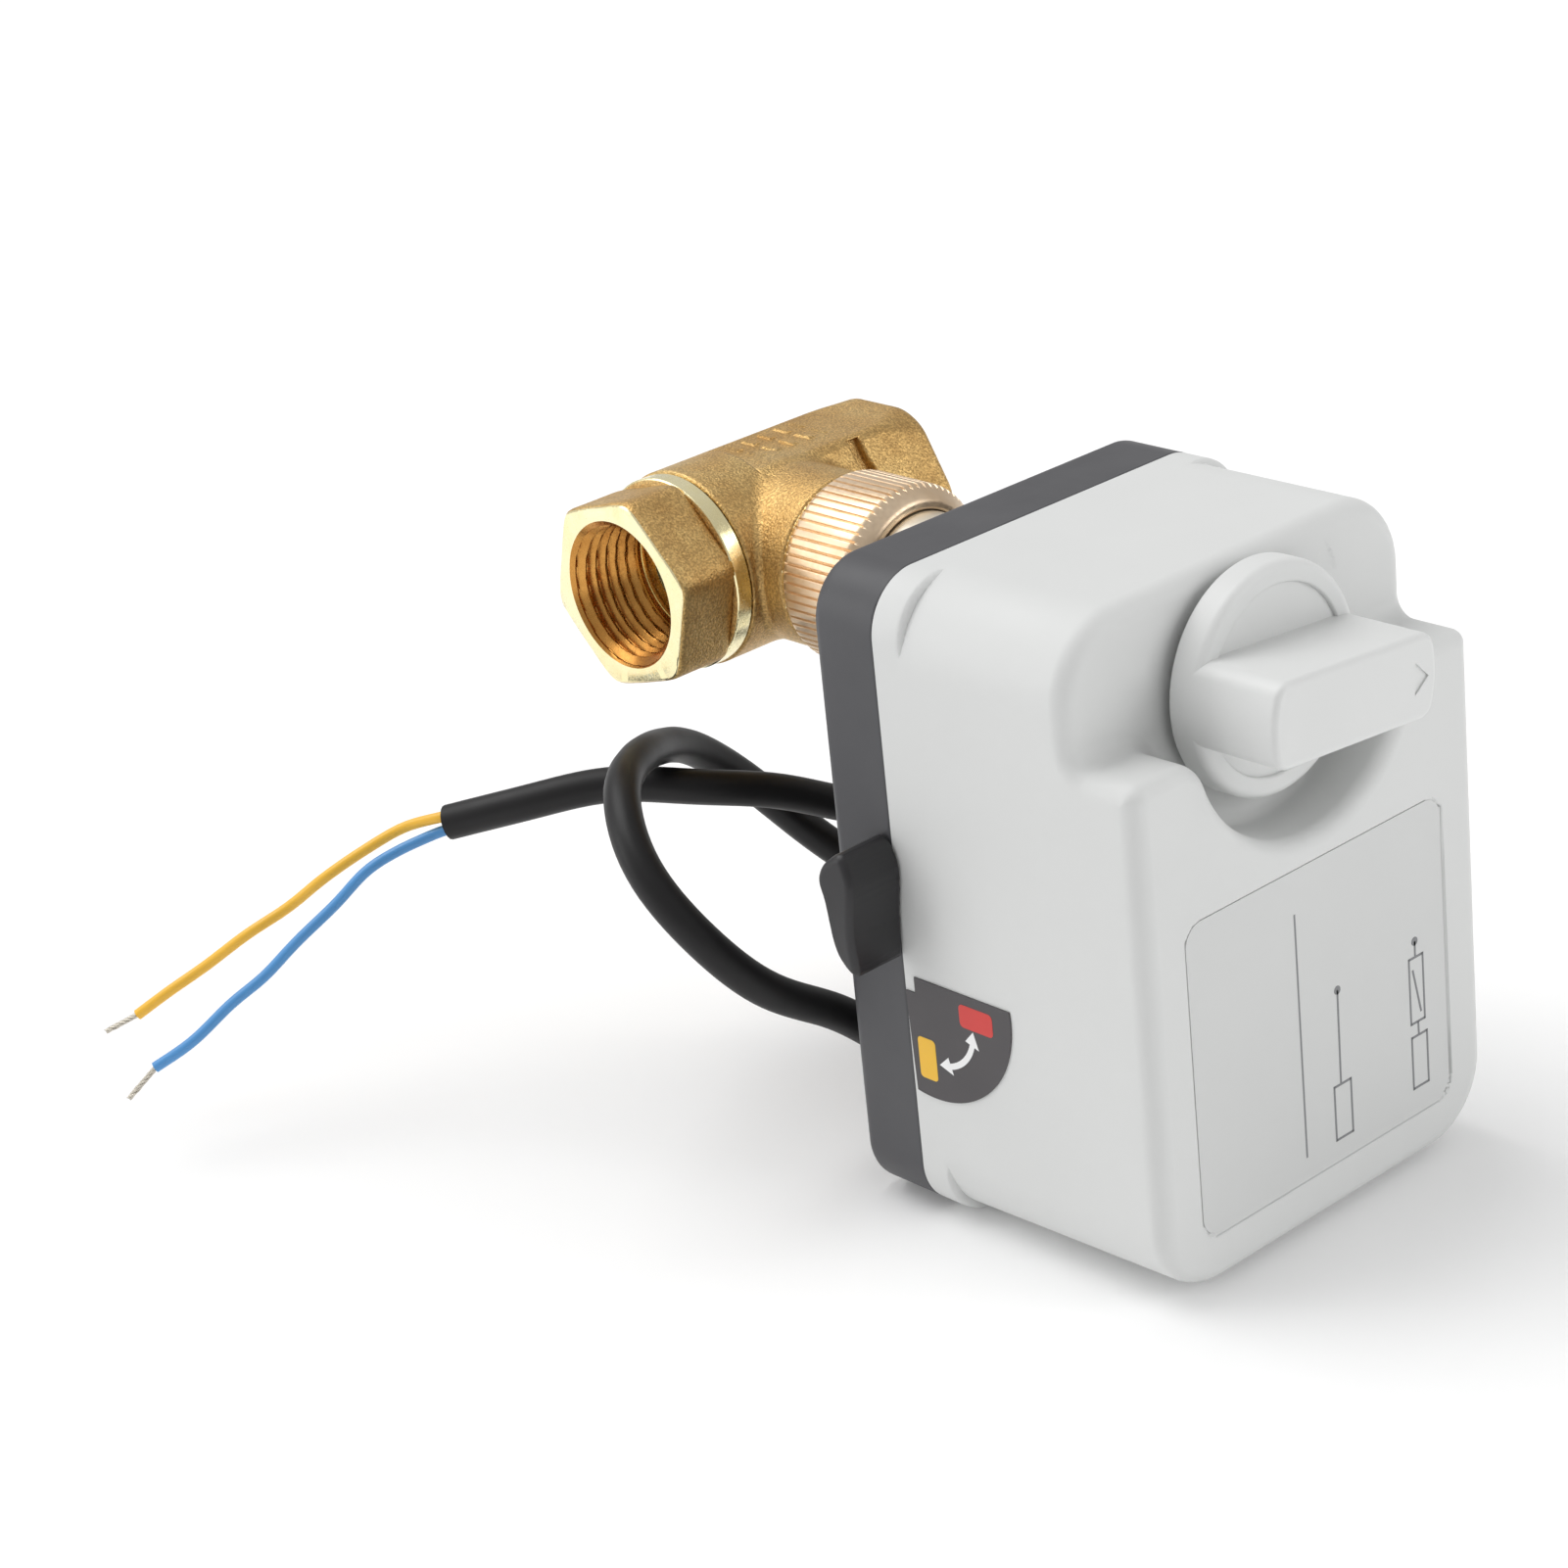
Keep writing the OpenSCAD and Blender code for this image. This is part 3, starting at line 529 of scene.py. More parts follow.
def cord_curve(name, pts, dia, material, taper=None):
    cu = bpy.data.curves.new(name, "CURVE")
    cu.dimensions = "3D"
    cu.bevel_depth = dia / 2000.0
    cu.bevel_resolution = 7
    cu.use_fill_caps = True
    sp = cu.splines.new("POLY")
    sp.points.add(len(pts) - 1)
    for i, q in enumerate(to_m(pts)):
        sp.points[i].co = (*q, 1)
        if taper is not None:
            sp.points[i].radius = taper[i]
    sp.use_smooth = True
    cu.materials.append(MATS[material])
    o = bpy.data.objects.new(name, cu)
    bpy.context.scene.collection.objects.link(o)
    return o


sheath_pts = ironed(catmull(SHEATH, 12), 190, 200)
end = np.array(SHEATH[-1], float)
way = end - np.array(SHEATH[-2], float)
way /= np.linalg.norm(way)
side = np.array([0, 0, 1.0]) - way * way[2]
side /= np.linalg.norm(side)


def wire_pts(s, pts):
    start = end - 1.5 * way + 0.95 * s * side
    out = end + 1.5 * way + 1.05 * s * side
    return ironed(np.vstack([start[None], catmull(np.vstack([out[None], pts]), 8)]), 90, 60)


yellow_pts = wire_pts(1, YELLOW)
blue_pts = wire_pts(-1, BLUE)
sheath = cord_curve("cable_sheath_cord", sheath_pts, 5.1, "cable_black")
yellow = cord_curve("wire_yellow_cord", yellow_pts, 1.6, "wire_yellow")
blue = cord_curve("wire_blue_cord", blue_pts, 1.6, "wire_blue")
for o, node, slot in ((sheath, "cable_sheath", "cable_black"), (yellow, "wire_yellow", "wire_yellow"), (blue, "wire_blue", "wire_blue")):
    finish_piece(o, "root", [node])


def strands(name, a, b, turns=1.2, r=0.42):
    """A bare tinned end: seven strands twisted together."""
    a, b = np.array(a, float), np.array(b, float)
    w = (b - a) / np.linalg.norm(b - a)
    u = np.cross(w, [0, 0, 1.0])
    u /= np.linalg.norm(u)
    v = np.cross(w, u)
    vs, fs = [], []
    for k in range(7):
        rad = 0.0 if k == 6 else r * 0.64
        base = len(vs)
        n, m = 26, 8
        for i in range(n + 1):
            t = i / n
            ang = k * math.pi / 3 + t * turns * 2 * math.pi
            spread = 1 + 0.25 * t * t * math.sin(k * 2.3 + 1)
            c = a + (b - a) * t * (1 - 0.04 * ((k * 37) % 5) / 5) + rad * spread * (math.cos(ang) * u + math.sin(ang) * v)
            for j in range(m):
                q = j * 2 * math.pi / m
                rr = r * 0.36 * (0.75 if i == n else 1)
                vs.append(c + rr * (math.cos(q) * u + math.sin(q) * v))
        for i in range(n):
            for j in range(m):
                fs.append((base + i * m + j, base + i * m + (j + 1) % m, base + (i + 1) * m + (j + 1) % m, base + (i + 1) * m + j))
        fs.append(tuple(base + j for j in reversed(range(m))))
        fs.append(tuple(base + n * m + j for j in range(m)))
    return mesh_object(name, vs, fs, ["tinned"])


for nm, pts, e in (("yellow_wire_tip", yellow_pts, YELLOW_END), ("blue_wire_tip", blue_pts, BLUE_END)):
    t = strands(nm, pts[-1] - (pts[-1] - pts[-2]) * 0.4, e)
    finish_piece(t, "root", ["wire_tips"])

# ---------------------------------------------------------------- surfaces from signed distances


def grad(f, P, eps):
    out = np.zeros(P.shape)
    for s in ((1, -1, -1), (-1, -1, 1), (-1, 1, -1), (1, 1, 1)):
        s = np.array(s, float)
        out += f(P + eps * s)[:, None] * s
    return out / np.maximum(np.linalg.norm(out, axis=1), 1e-12)[:, None]


def contour(f, lo, hi, h, coarse=6):
    """Dual contouring of f = 0 over a box: smooth where f is smooth, crisp where two surfaces of f meet."""
    lo = np.array(lo, float)
    nc = np.ceil((np.array(hi, float) - lo) / (h * coarse)).astype(int)
    n = nc * coarse + 1
    cells = np.indices(nc).reshape(3, -1).T
    d = f(lo + (cells + 0.5) * coarse * h)
    near = np.abs(d) < coarse * h * 0.5 * 1.7320508 * 1.3 + 0.5
    F = np.ones(n, np.float32)
    F[:-1, :-1, :-1] = np.repeat(np.repeat(np.repeat(np.where(d > 0, 9.0, -9.0).reshape(nc).astype(np.float32), coarse, 0), coarse, 1), coarse, 2)
    local = np.indices((coarse + 1,) * 3).reshape(3, -1).T
    chosen = cells[near] * coarse
    step = max(1, 400000 // len(local))
    for s in range(0, len(chosen), step):
        idx = (chosen[s:s + step, None, :] + local[None]).reshape(-1, 3)
        F[idx[:, 0], idx[:, 1], idx[:, 2]] = f(lo + idx * h)
    S = F < 0
    a = S.astype(np.int8)
    total = np.zeros(tuple(n - 1), np.int8)
    for dx in (0, 1):
        for dy in (0, 1):
            for dz in (0, 1):
                total += a[dx:n[0] - 1 + dx, dy:n[1] - 1 + dy, dz:n[2] - 1 + dz]
    act = np.argwhere((total > 0) & (total < 8))
    m = len(act)
    ids = np.full(tuple(n - 1), -1, np.int64)
    ids[act[:, 0], act[:, 1], act[:, 2]] = np.arange(m)
    ata = np.zeros((m, 3, 3))
    atb = np.zeros((m, 3))
    mass = np.zeros((m, 3))
    cnt = np.zeros(m)
    quads = []
    for ax in range(3):
        b, c = (ax + 1) % 3, (ax + 2) % 3
        sl0, sl1 = [slice(None)] * 3, [slice(None)] * 3
        sl0[ax], sl1[ax] = slice(0, -1), slice(1, None)
        s0 = S[tuple(sl0)]
        e = np.argwhere(s0 != S[tuple(sl1)])
        e = e[(e[:, b] > 0) & (e[:, c] > 0) & (e[:, b] < n[b] - 1) & (e[:, c] < n[c] - 1)]
        first_in = s0[e[:, 0], e[:, 1], e[:, 2]]
        unit = np.eye(3)[ax]
        p0 = lo + e * h
        t0, t1 = np.zeros(len(e)), np.ones(len(e))
        v0 = f(p0)
        v1 = f(p0 + unit * h)
        for _ in range(4):
            t = t0 + (t1 - t0) * np.clip(v0 / np.where(np.abs(v0 - v1) < 1e-12, 1, v0 - v1), 0.06, 0.94)
            v = f(p0 + t[:, None] * h * unit)
            left = (v < 0) == (v0 < 0)
            t0, v0 = np.where(left, t, t0), np.where(left, v, v0)
            t1, v1 = np.where(left, t1, t), np.where(left, v1, v)
        t = t0 + (t1 - t0) * np.clip(v0 / np.where(np.abs(v0 - v1) < 1e-12, 1, v0 - v1), 0, 1)
        P = p0 + t[:, None] * h * unit
        N = grad(f, P, h * 0.03)
        q = []
        for ob, oc in ((-1, -1), (0, -1), (0, 0), (-1, 0)):
            w = e.copy()
            w[:, b] += ob
            w[:, c] += oc
            k = ids[w[:, 0], w[:, 1], w[:, 2]]
            q.append(k)
            for i in range(3):
                mass[:, i] += np.bincount(k, P[:, i], m)
                for j in range(i, 3):
                    ata[:, i, j] += np.bincount(k, N[:, i] * N[:, j], m)
            pn = (P * N).sum(1)
            for i in range(3):
                atb[:, i] += np.bincount(k, N[:, i] * pn, m)
            cnt += np.bincount(k, None, m)
        q = np.stack(q, 1)
        q[~first_in] = q[~first_in][:, ::-1]
        quads.append(q)
    for i in range(3):
        for j in range(i):
            ata[:, i, j] = ata[:, j, i]
    cnt = np.maximum(cnt, 1)
    mass /= cnt[:, None]
    rhs = atb - np.einsum("nij,nj->ni", ata, mass)
    off = np.linalg.solve(ata + np.eye(3) * 0.06, rhs[..., None])[..., 0]
    p = mass + off
    p = np.clip(p, lo + (act - 0.02) * h, lo + (act + 1.02) * h)
    return p, np.concatenate(quads)


def seam_tiles(o, centres, size):
    """Seams on a coarse grid keep the merged flats to a moderate size."""
    me = o.data
    if len(me.polygons) != len(centres):
        return
    tile = (np.floor(centres / size) * np.array([1, 1000, 1000000])).sum(1)
    ne, nl = len(me.edges), len(me.loops)
    le = np.zeros(nl, np.int32)
    me.loops.foreach_get("edge_index", le)
    lt = np.repeat(tile, 4)
    hi, lo = np.full(ne, -1e18), np.full(ne, 1e18)
    np.maximum.at(hi, le, lt)
    np.minimum.at(lo, le, lt)
    me.edges.foreach_set("use_seam", hi != lo)


def shape(name, f, lo, hi, h, mats, pick=None, flat=0.1, coarse=6):
    """A finished mesh of f's surface. Flat areas are merged; every corner has the surface's own normal."""
    P, Q = contour(f, lo, hi, h, coarse)
    index = None
    if pick is not None:
        c = P[Q].mean(1)
        index = pick(c, grad(f, c, h * 0.05))
    o = big_mesh(name, P, Q, mats, index)
    if flat:
        seam_tiles(o, P[Q].mean(1), 16 * h)
        modifier(o, "DECIMATE", decimate_type="DISSOLVE", angle_limit=math.radians(flat), delimit={"MATERIAL", "SEAM"})
        apply_all(o)
    me = o.data
    nv, nl, nf = len(me.vertices), len(me.loops), len(me.polygons)
    co = np.zeros(nv * 3, np.float32)
    me.vertices.foreach_get("co", co)
    co = co.reshape(-1, 3).astype(float) * 1000.0 - ORIGIN
    lv = np.zeros(nl, np.int32)
    me.loops.foreach_get("vertex_index", lv)
    fn = np.zeros(nf * 3, np.float32)
    me.polygons.foreach_get("normal", fn)
    fn = fn.reshape(-1, 3)
    tot = np.zeros(nf, np.int32)
    me.polygons.foreach_get("loop_total", tot)
    start = np.zeros(nf, np.int32)
    me.polygons.foreach_get("loop_start", start)
    lf = np.repeat(np.arange(nf), tot)
    vn = grad(f, co, 0.01)
    ln = vn[lv]
    face = fn[lf].astype(float)
    odd = np.argwhere((ln * face).sum(1) < 0.985)[:, 0]
    if len(odd):
        k = np.arange(nl)
        first, last = start[lf], start[lf] + tot[lf] - 1
        nxt = np.where(k == last, first, k + 1)
        prv = np.where(k == first, last, k - 1)
        a = co[lv[odd]]
        d1 = co[lv[nxt[odd]]] - a
        d2 = co[lv[prv[odd]]] - a
        d1 /= np.maximum(np.linalg.norm(d1, axis=1), 1e-9)[:, None]
        d2 /= np.maximum(np.linalg.norm(d2, axis=1), 1e-9)[:, None]
        into = d1 + d2
        into = np.where(np.linalg.norm(into, axis=1)[:, None] < 0.05, np.cross(face[odd], d1), into)
        into /= np.maximum(np.linalg.norm(into, axis=1), 1e-9)[:, None]
        best = ln[odd].copy()
        score = (best * face[odd]).sum(1)
        for s in (1, -1):
            g = grad(f, a + s * into * h * 0.3, 0.01)
            sc = (g * face[odd]).sum(1)
            up = sc > score
            best[up], score[up] = g[up], sc[up]
        best[score < 0.5] = face[odd][score < 0.5]
        ln[odd] = best
    me.polygons.foreach_set("use_smooth", np.ones(nf, bool))
    me.normals_split_custom_set(ln.astype(np.float32))
    return o


def xyz(P):
    """x, depth, height of the points."""
    return P[:, 0], -BACK - P[:, 1], P[:, 2]


def cyl(a, b, r, c=(0, 0)):
    return np.hypot(a - c[0], b - c[1]) - r


SCREWS = [(-25.2, 8.8), (25.2, 8.8), (-25.2, -68.4), (25.2, -68.4)]


# ---- front cover ----
def cover_outer(x, d, z):
    t = np.maximum(d - 16.4, 0)
    o2 = rr2(x, z, 32.0, -75.0 + 0.026 * t, 15.4, 10.8)
    lip = isect(rr2(x, z, 32.0, -75.0, 15.4, 8.0), d - 16.4, 0.9)
    step = isect(cut(z + 2.5, cyl(x, z, 19.6), 4.0), d - 54.6, 2.1)
    front = union(d - 44.0, step, 2.4)
    return np.minimum(isect(o2, front, 2.6), lip)


def cover_sdf(P):
    x, d, z = xyz(P)
    out = cover_outer(x, d, z)
    hollow = out + 2.2
    for px, pz in SCREWS:
        hollow = np.maximum(hollow, -cyl(x, z, 3.0, (px, pz)))
    hollow = np.maximum(hollow, -np.maximum(cyl(x, z, 8.0), 38.3 - d))
    s = np.maximum(np.maximum(out, -hollow), 11.32 - d)
    tab = np.maximum(np.maximum(slab(x, -32.0, -30.1), slab(d, 9.75, 12.5)), slab(z, -27.45, -22.55))
    s = np.minimum(s, tab)
    s = np.maximum(s, -np.maximum(cyl(d, z, 2.56, (9.2, -25.0)), x + 28.0))
    s = np.maximum(s, -cyl(x, z, 4.06))
    s = np.maximum(s, -np.maximum(cyl(x, z, 5.6), d - 41.8))
    for px, pz in SCREWS:
        s = np.maximum(s, -np.maximum(cyl(x, z, 1.42, (px, pz)), d - 24.0))
    tray = np.maximum(rr2(x, z, 24.8, -67.2, -23.0, 3.2), 54.1 - d)
    s = np.maximum(s, -tray)
    # the moulded mark above the knob
    tri = poly2(x, z, MARK)
    return np.maximum(s, -np.maximum(tri, 43.62 - d))


MARK = [(14.2, 8.0), (18.8, 7.7), (17.0, 12.0)]
cover = shape("front_cover_moulding", cover_sdf, (-33, -101.6, -76), (33, -55, 17), 0.5, ["cover_grey"])
finish_piece(cover, "root", ["front_cover"])

# ---- back plate ----
POSTS = [(-23, 1.5), (23, 1.5), (-23, -61.5), (23, -61.5)]
RODS = [(-9.5, -33), (13.5, -11)]


def plate_sdf(P):
    x, d, z = xyz(P)
    o2 = rr2(x, z, 32.0, -75.0, 15.4, 8.0)
    out = isect(isect(o2, -d, 1.8), d - 11.3, 0.35)
    hollow = np.maximum(rr2(x, z, 29.8, -72.8, 13.2, 5.8), 3.0 - d)
    s = np.maximum(out, -hollow)
    for px, pz in POSTS:
        s = np.minimum(s, np.maximum(cyl(x, z, 3.0, (px, pz)), slab(d, 2.5, 21.95)))
    for px, pz in SCREWS:
        s = np.minimum(s, np.maximum(cyl(x, z, 3.0, (px, pz)), slab(d, 2.5, 11.3)))
    s = np.minimum(s, np.maximum(cyl(x, z, 3.2, (0, -16)), slab(d, 2.5, 4.6)))
    s = np.maximum(s, -cyl(x, z, 10.04))
    s = np.maximum(s, -np.maximum(cyl(x, z, 13.8), 3.0 - d))
    for px, pz in SCREWS:
        s = np.maximum(s, -np.maximum(cyl(x, z, 3.1, (px, pz)), d - 2.0))
        s = np.maximum(s, -cyl(x, z, 1.6, (px, pz)))
    for px, pz in POSTS:
        s = np.maximum(s, -np.maximum(cyl(x, z, 1.3, (px, pz)), 10.0 - d))
    s = np.maximum(s, -np.maximum(cyl(x, z, 1.52, (0, -16)), 1.5 - d))
    for px, pz in RODS:
        s = np.maximum(s, -np.maximum(cyl(x, z, 1.27, (px, pz)), 1.5 - d))
    s = np.maximum(s, -cyl(x, z, 3.62, (8, -55)))
    slot = np.minimum(cyl(d, z, 2.56, (9.2, -25.0)), np.maximum(9.2 - d, slab(z, -27.56, -22.44)))
    s = np.maximum(s, -np.maximum(slot, x + 28.0))
    # a shallow moulded panel line round the back face
    ring = np.abs(rr2(x, z, 28.6, -71.6, 12.0, 4.8)) - 0.5
    return np.maximum(s, -np.maximum(ring, d - 0.5))


plate = shape("back_plate_moulding", plate_sdf, (-33, -69, -76), (33, -45, 17), 0.5, ["base_charcoal"])
finish_piece(plate, "root", ["back_plate"])


# ---- knob ----
def knob_sdf(P):
    x, d, z = xyz(P)
    ca, sa = math.cos(math.radians(5)), math.sin(math.radians(5))
    u, w = x * ca - z * sa, x * sa + z * ca
    rad = np.hypot(x, z)
    disc = isect(isect(rad - 15.3, d - 50.0, 1.3), 45.4 - d, 0.5)
    field = np.maximum(rad - 12.4, 49.45 - d)
    disc = cut(disc, field, 0.35)
    bar2 = isect(rad - 15.3, np.abs(w) - 5.65, 1.7)
    bar = isect(isect(bar2, d - 62.5, 0.9), 46.5 - d, 0.5)
    s = np.minimum(disc, bar)
    bore = cyl(x, z, 4.03)
    bore = np.where(d > 46.4, np.maximum(bore, z - 3.05), bore)
    s = np.maximum(s, -np.maximum(bore, d - 53.5))
    under = np.maximum(np.maximum(rad - 13.3, 7.0 - rad), d - 48.0)
    s = np.maximum(s, -under)
    tri = poly2(u, w, [(11.0, -2.2), (11.0, 2.2), (13.6, 0.0)])
    return np.maximum(s, -np.maximum(tri, 62.2 - d))


knob = shape("knob_moulding", knob_sdf, (-16.2, -109.3, -16.2), (16.2, -90.6, 16.2), 0.3, ["knob_grey"])
finish_piece(knob, "drive", ["knob"])


# ---- clutch lever ----
def closed_smooth(pts, k=5):
    p = np.asarray(pts, float)
    n = len(p)
    out = []
    for i in range(n):
        a, b, c, d = p[(i - 1) % n], p[i], p[(i + 1) % n], p[(i + 2) % n]
        for j in range(k):
            t = j / k
            out.append(b + (c - a) / 2 * t + (a - 2.5 * b + 2 * c - d / 2) * t * t + (1.5 * (b - c) + (d - a) / 2) * t ** 3)
    return np.array(out)


LEVER = closed_smooth([(-1.7, -1.4), (-1, -7.5), (0, -9.8), (1.2, -11), (2.4, -10.5), (2.8, -5), (3.5, 0.6), (3.2, 3.2),
                       (1.9, 5.5), (0.6, 5.9), (-0.8, 5), (-2.2, 3.6), (-2.7, 1.6)], 4)


def lever_sdf(P):
    x, d, z = xyz(P)
    u, w = d - 9.2, z + 25.0
    o = poly2(u, w, LEVER)
    dome = -41.4 - x + 0.012 * (w + 2.0) ** 2
    s = isect(isect(o, dome, 1.0), x + 32.35, 0.3)
    # thumb hollow on the side that is pushed
    s = cut(s, np.sqrt((u + 8.6) ** 2 + (w + 4.4) ** 2) - 7.2, 0.6)
    shaft = np.maximum(np.maximum(np.hypot(u, w) - 2.5, -33.5 - x), x + 16.0)
    s = np.minimum(s, shaft)
    groove = np.maximum(1.55 - np.hypot(u, w), slab(x, -31.5, -30.3))
    s = np.maximum(s, -groove)
    return np.maximum(s, -np.maximum(np.hypot(u, w) - 1.02, -21.0 - x))


lever = shape("lever_moulding", lever_sdf, (-42.4, -60.2, -37.4), (-15.2, -51.2, -18.2), 0.28, ["lever_black"])
finish_piece(lever, "lever", ["clutch_lever"])


# ---- valve body ----
def hex2(y, z, ap, r):
    s = None
    for a in (30.0, 90.0, 150.0):
        t = np.abs(y * math.cos(math.radians(a)) + z * math.sin(math.radians(a))) - ap
        s = t if s is None else isect(s, t, r)
    return s


def tri_wave(t):
    t = t - np.floor(t)
    return 1 - np.abs(2 * t - 1)


def body_sdf(P):
    x, y, z = P[:, 0], P[:, 1], P[:, 2]
    rad = np.hypot(y, z)
    near = np.clip((x - 17.0) / 9.0, 0, 1)
    near = near * near * (3 - 2 * near)
    hexa = isect(hex2(y, z, 12.6 + 0.4 * near, 1.0 + 2.6 * near), rad - 14.5 - 0.2 * near, 0.5)
    hexa = isect(isect(hexa, x - 26.0, 1.5), -4.1 - x, 0.25)
    barrel = isect(isect(rad - 14.1, x + 4.0, 0.5), -13.8 - x, 0.35)
    bar = np.minimum(hexa, barrel)
    rb = np.hypot(x, z)
    boss = isect(rb - 12.5, -18.4 - y, 0.6)
    boss = np.maximum(boss, y + 2)
    ang = np.arctan2(z, x) / (2 * math.pi)
    thr = 11.5 - 0.62 * tri_wave(y / 1.5 + ang)
    nipple = np.maximum(np.maximum((rb - thr) * 0.75, -24.2 - y), y + 17)
    s = union(bar, boss, 1.0)
    # two rows of plain raised strokes on the top flat
    along = np.abs(x - 6.0) - 6.5
    stroke = np.maximum(np.abs((x - 0.3) - 3.1 * np.round((x - 0.3) / 3.1)) - 0.5, along)
    rows = np.minimum(np.abs(y + 1.0) - 1.5, np.abs(y - 3.6) - 1.4)
    s = union(s, np.maximum(np.maximum(np.maximum(stroke, rows), z - 12.85), 11.5 - z), 0.25)
    # the sunk line where the middle of the forging meets its right end
    front_flat = -y * math.cos(math.radians(30)) + z * math.sin(math.radians(30))
    sunk = np.maximum(np.maximum(np.abs(x - 13.0 - 0.05 * (z - 10.5) ** 2) - 1.05, 11.35 - front_flat), np.maximum(z - 12.1, 2.0 - z))
    s = cut(s, sunk, 0.45)
    s = np.minimum(s, nipple)
    s = np.maximum(s, -np.maximum(rad - 10.62, 13.8 - x))
    s = np.maximum(s, -np.maximum(rad - 6.5, -x))
    s = np.maximum(s, -np.maximum(rad - 10.0, x - 10.5))
    s = np.maximum(s, -np.maximum(rad - 11.2, x + 10.4))
    s = np.maximum(s, -np.maximum(rb - 4.06, y + 5))
    s = np.maximum(s, -np.maximum(np.maximum(rb - 5.6, -12.6 - y), y + 5))
    return np.maximum(s, -np.maximum(rb - 8.0, y + 21.5))


def body_pick(c, n):
    rad = np.hypot(c[:, 1], c[:, 2])
    rb = np.hypot(c[:, 0], c[:, 2])
    cast = (n[:, 0] < 0.9) & (rad > 10.9) & (c[:, 1] > -18.3)
    return np.where(cast | ((c[:, 1] > -18.3) & (c[:, 1] < -11.5) & (rb > 11.0)), 0, 1)


body = shape("valve_body_casting", body_sdf, (-14.4, -25.0, -15.0), (26.8, 15.2, 15.0), 0.4, ["brass_cast", "brass_turned"], pick=body_pick)
finish_piece(body, "root", ["valve_body"])


# ---- threaded end, turned band and shank ----
def hex_radius(th, ap=12.85, cap=14.4, k=2.3):
    vals = [np.full(th.shape, cap)]
    for a in range(6):
        c = np.cos(th - math.radians(15 + 60 * a))
        vals.append(np.where(c > 0.3, ap / np.maximum(c, 0.3), 60.0))
    v = np.array(vals)
    lo = v.min(0)
    return lo - np.log(np.exp(-k * (v - lo)).sum(0)) / k


def thread_rings(x_mouth, x_end, side, nt, minor=9.32, major=10.4, pitch=1.814, per=20, mouth=10.62):
    """Rings of an internal thread from the mouth inwards; side is +1 when x grows inwards."""
    th = np.arange(nt) * 2 * math.pi / nt
    rings = [(x_mouth, mouth)]
    n = int(abs(x_end - x_mouth) / (pitch / per))
    for i in range(1, n + 1):
        x = x_mouth + side * i * pitch / per
        t = (x - x_mouth) / pitch * side - th / (2 * math.pi)
        w = np.clip(tri_wave(t) * 1.25 - 0.1, 0, 1)
        cone = 0.035 * i * pitch / per
        r = minor + (major - minor) * w - cone * w
        inward = i * pitch / per
        r = np.maximum(r, mouth - inward * 1.1)
        tail = np.clip((inward - abs(x_end - x_mouth) + 1.2) / 1.2, 0, 1)
        rings.append((x, r * (1 - tail) + minor * tail))
    return rings


NT = 360
TH = np.arange(NT) * 2 * math.pi / NT
hexr = hex_radius(TH)
rough = 1 + 0.0016 * np.sin(TH * 7 + 1.1) + 0.001 * np.sin(TH * 17 + 0.4)
rings, bands = [], []


def add_ring(x, r, band):
    rings.append((x, r))
    bands.append(band)


add_ring(-26.0, 10.62, 1)
add_ring(-26.0, hexr * rough - 0.55, 1)
add_ring(-25.85, hexr * rough - 0.3, 0)
add_ring(-25.55, hexr * rough - 0.08, 0)
add_ring(-25.1, hexr * rough, 0)
for xx in (-23.4, -21.6, -19.8, -18.1):
    add_ring(xx, hexr * (rough + 0.0008 * math.sin(xx * 3)), 0)
add_ring(-17.3, hexr * rough - 0.02, 0)
add_ring(-16.8, hexr * rough - 0.15, 0)
add_ring(-16.6, np.minimum(hexr * rough - 0.4, 13.6), 0)
add_ring(-16.5, 13.6, 1)
add_ring(-16.35, 13.82, 1)
add_ring(-14.1, 13.82, 1)
add_ring(-13.9, 13.62, 1)
add_ring(-13.9, 11.15, 1)
add_ring(-10.45, 11.15, 1)
add_ring(-10.45, 6.5, 1)
add_ring(-14.0, 6.5, 1)
add_ring(-14.0, 9.32, 1)
for x_, r_ in reversed(thread_rings(-26.0, -14.1, 1, NT)[1:]):
    add_ring(x_, r_, 2)
adapter = polar("end_adapter_turned", rings, ["brass_cast", "brass_turned", "brass_thread_painted_shade"], bands, axis="x", sharp=32)
finish_piece(adapter, "root", ["end_adapter"])

tr = thread_rings(26.0, 14.0, -1, NT)
rings = [(26.0, 10.62)] + tr[1:] + [(14.0, 9.32), (14.0, 6.52), (13.2, 6.52), (13.2, 10.9), (25.6, 10.9)]
sleeve = polar("port_thread", rings, ["brass_thread_painted_shade"], 0, axis="x", sharp=32)
finish_piece(sleeve, "root", ["valve_body"])

# ---- union nut ----
RIBS = 66
NN = RIBS * 12
tn = np.arange(NN) / 12.0
wave = np.clip(np.abs(((tn - np.floor(tn)) * 2 - 1)) * 3.6 - 2.3, 0, 1)
wave = wave * wave * (3 - 2 * wave)


def rib(r, depth):
    return r - depth * wave


rings = [(-19.0, 11.58), (-19.0, 12.5), (-19.15, rib(12.8, 0.0)), (-19.5, rib(13.1, 0.3)), (-20.0, rib(13.35, 0.42)), (-20.4, rib(13.4, 0.44)),
         (-30.4, rib(13.4, 0.44)), (-30.8, rib(13.3, 0.4)), (-31.15, rib(13.05, 0.2)), (-31.5, rib(12.75, 0.0)), (-31.9, 12.4),
         (-32.6, 11.75), (-32.9, 11.35), (-33.0, 11.0), (-33.0, 10.5), (-32.8, 10.2), (-32.5, 10.15), (-30.0, 10.15), (-30.0, 11.58)]
nut = polar("union_nut_knurled", rings, ["brass_nut"], 0, axis="y", sharp=28)
finish_piece(nut, "nut", ["union_nut"])


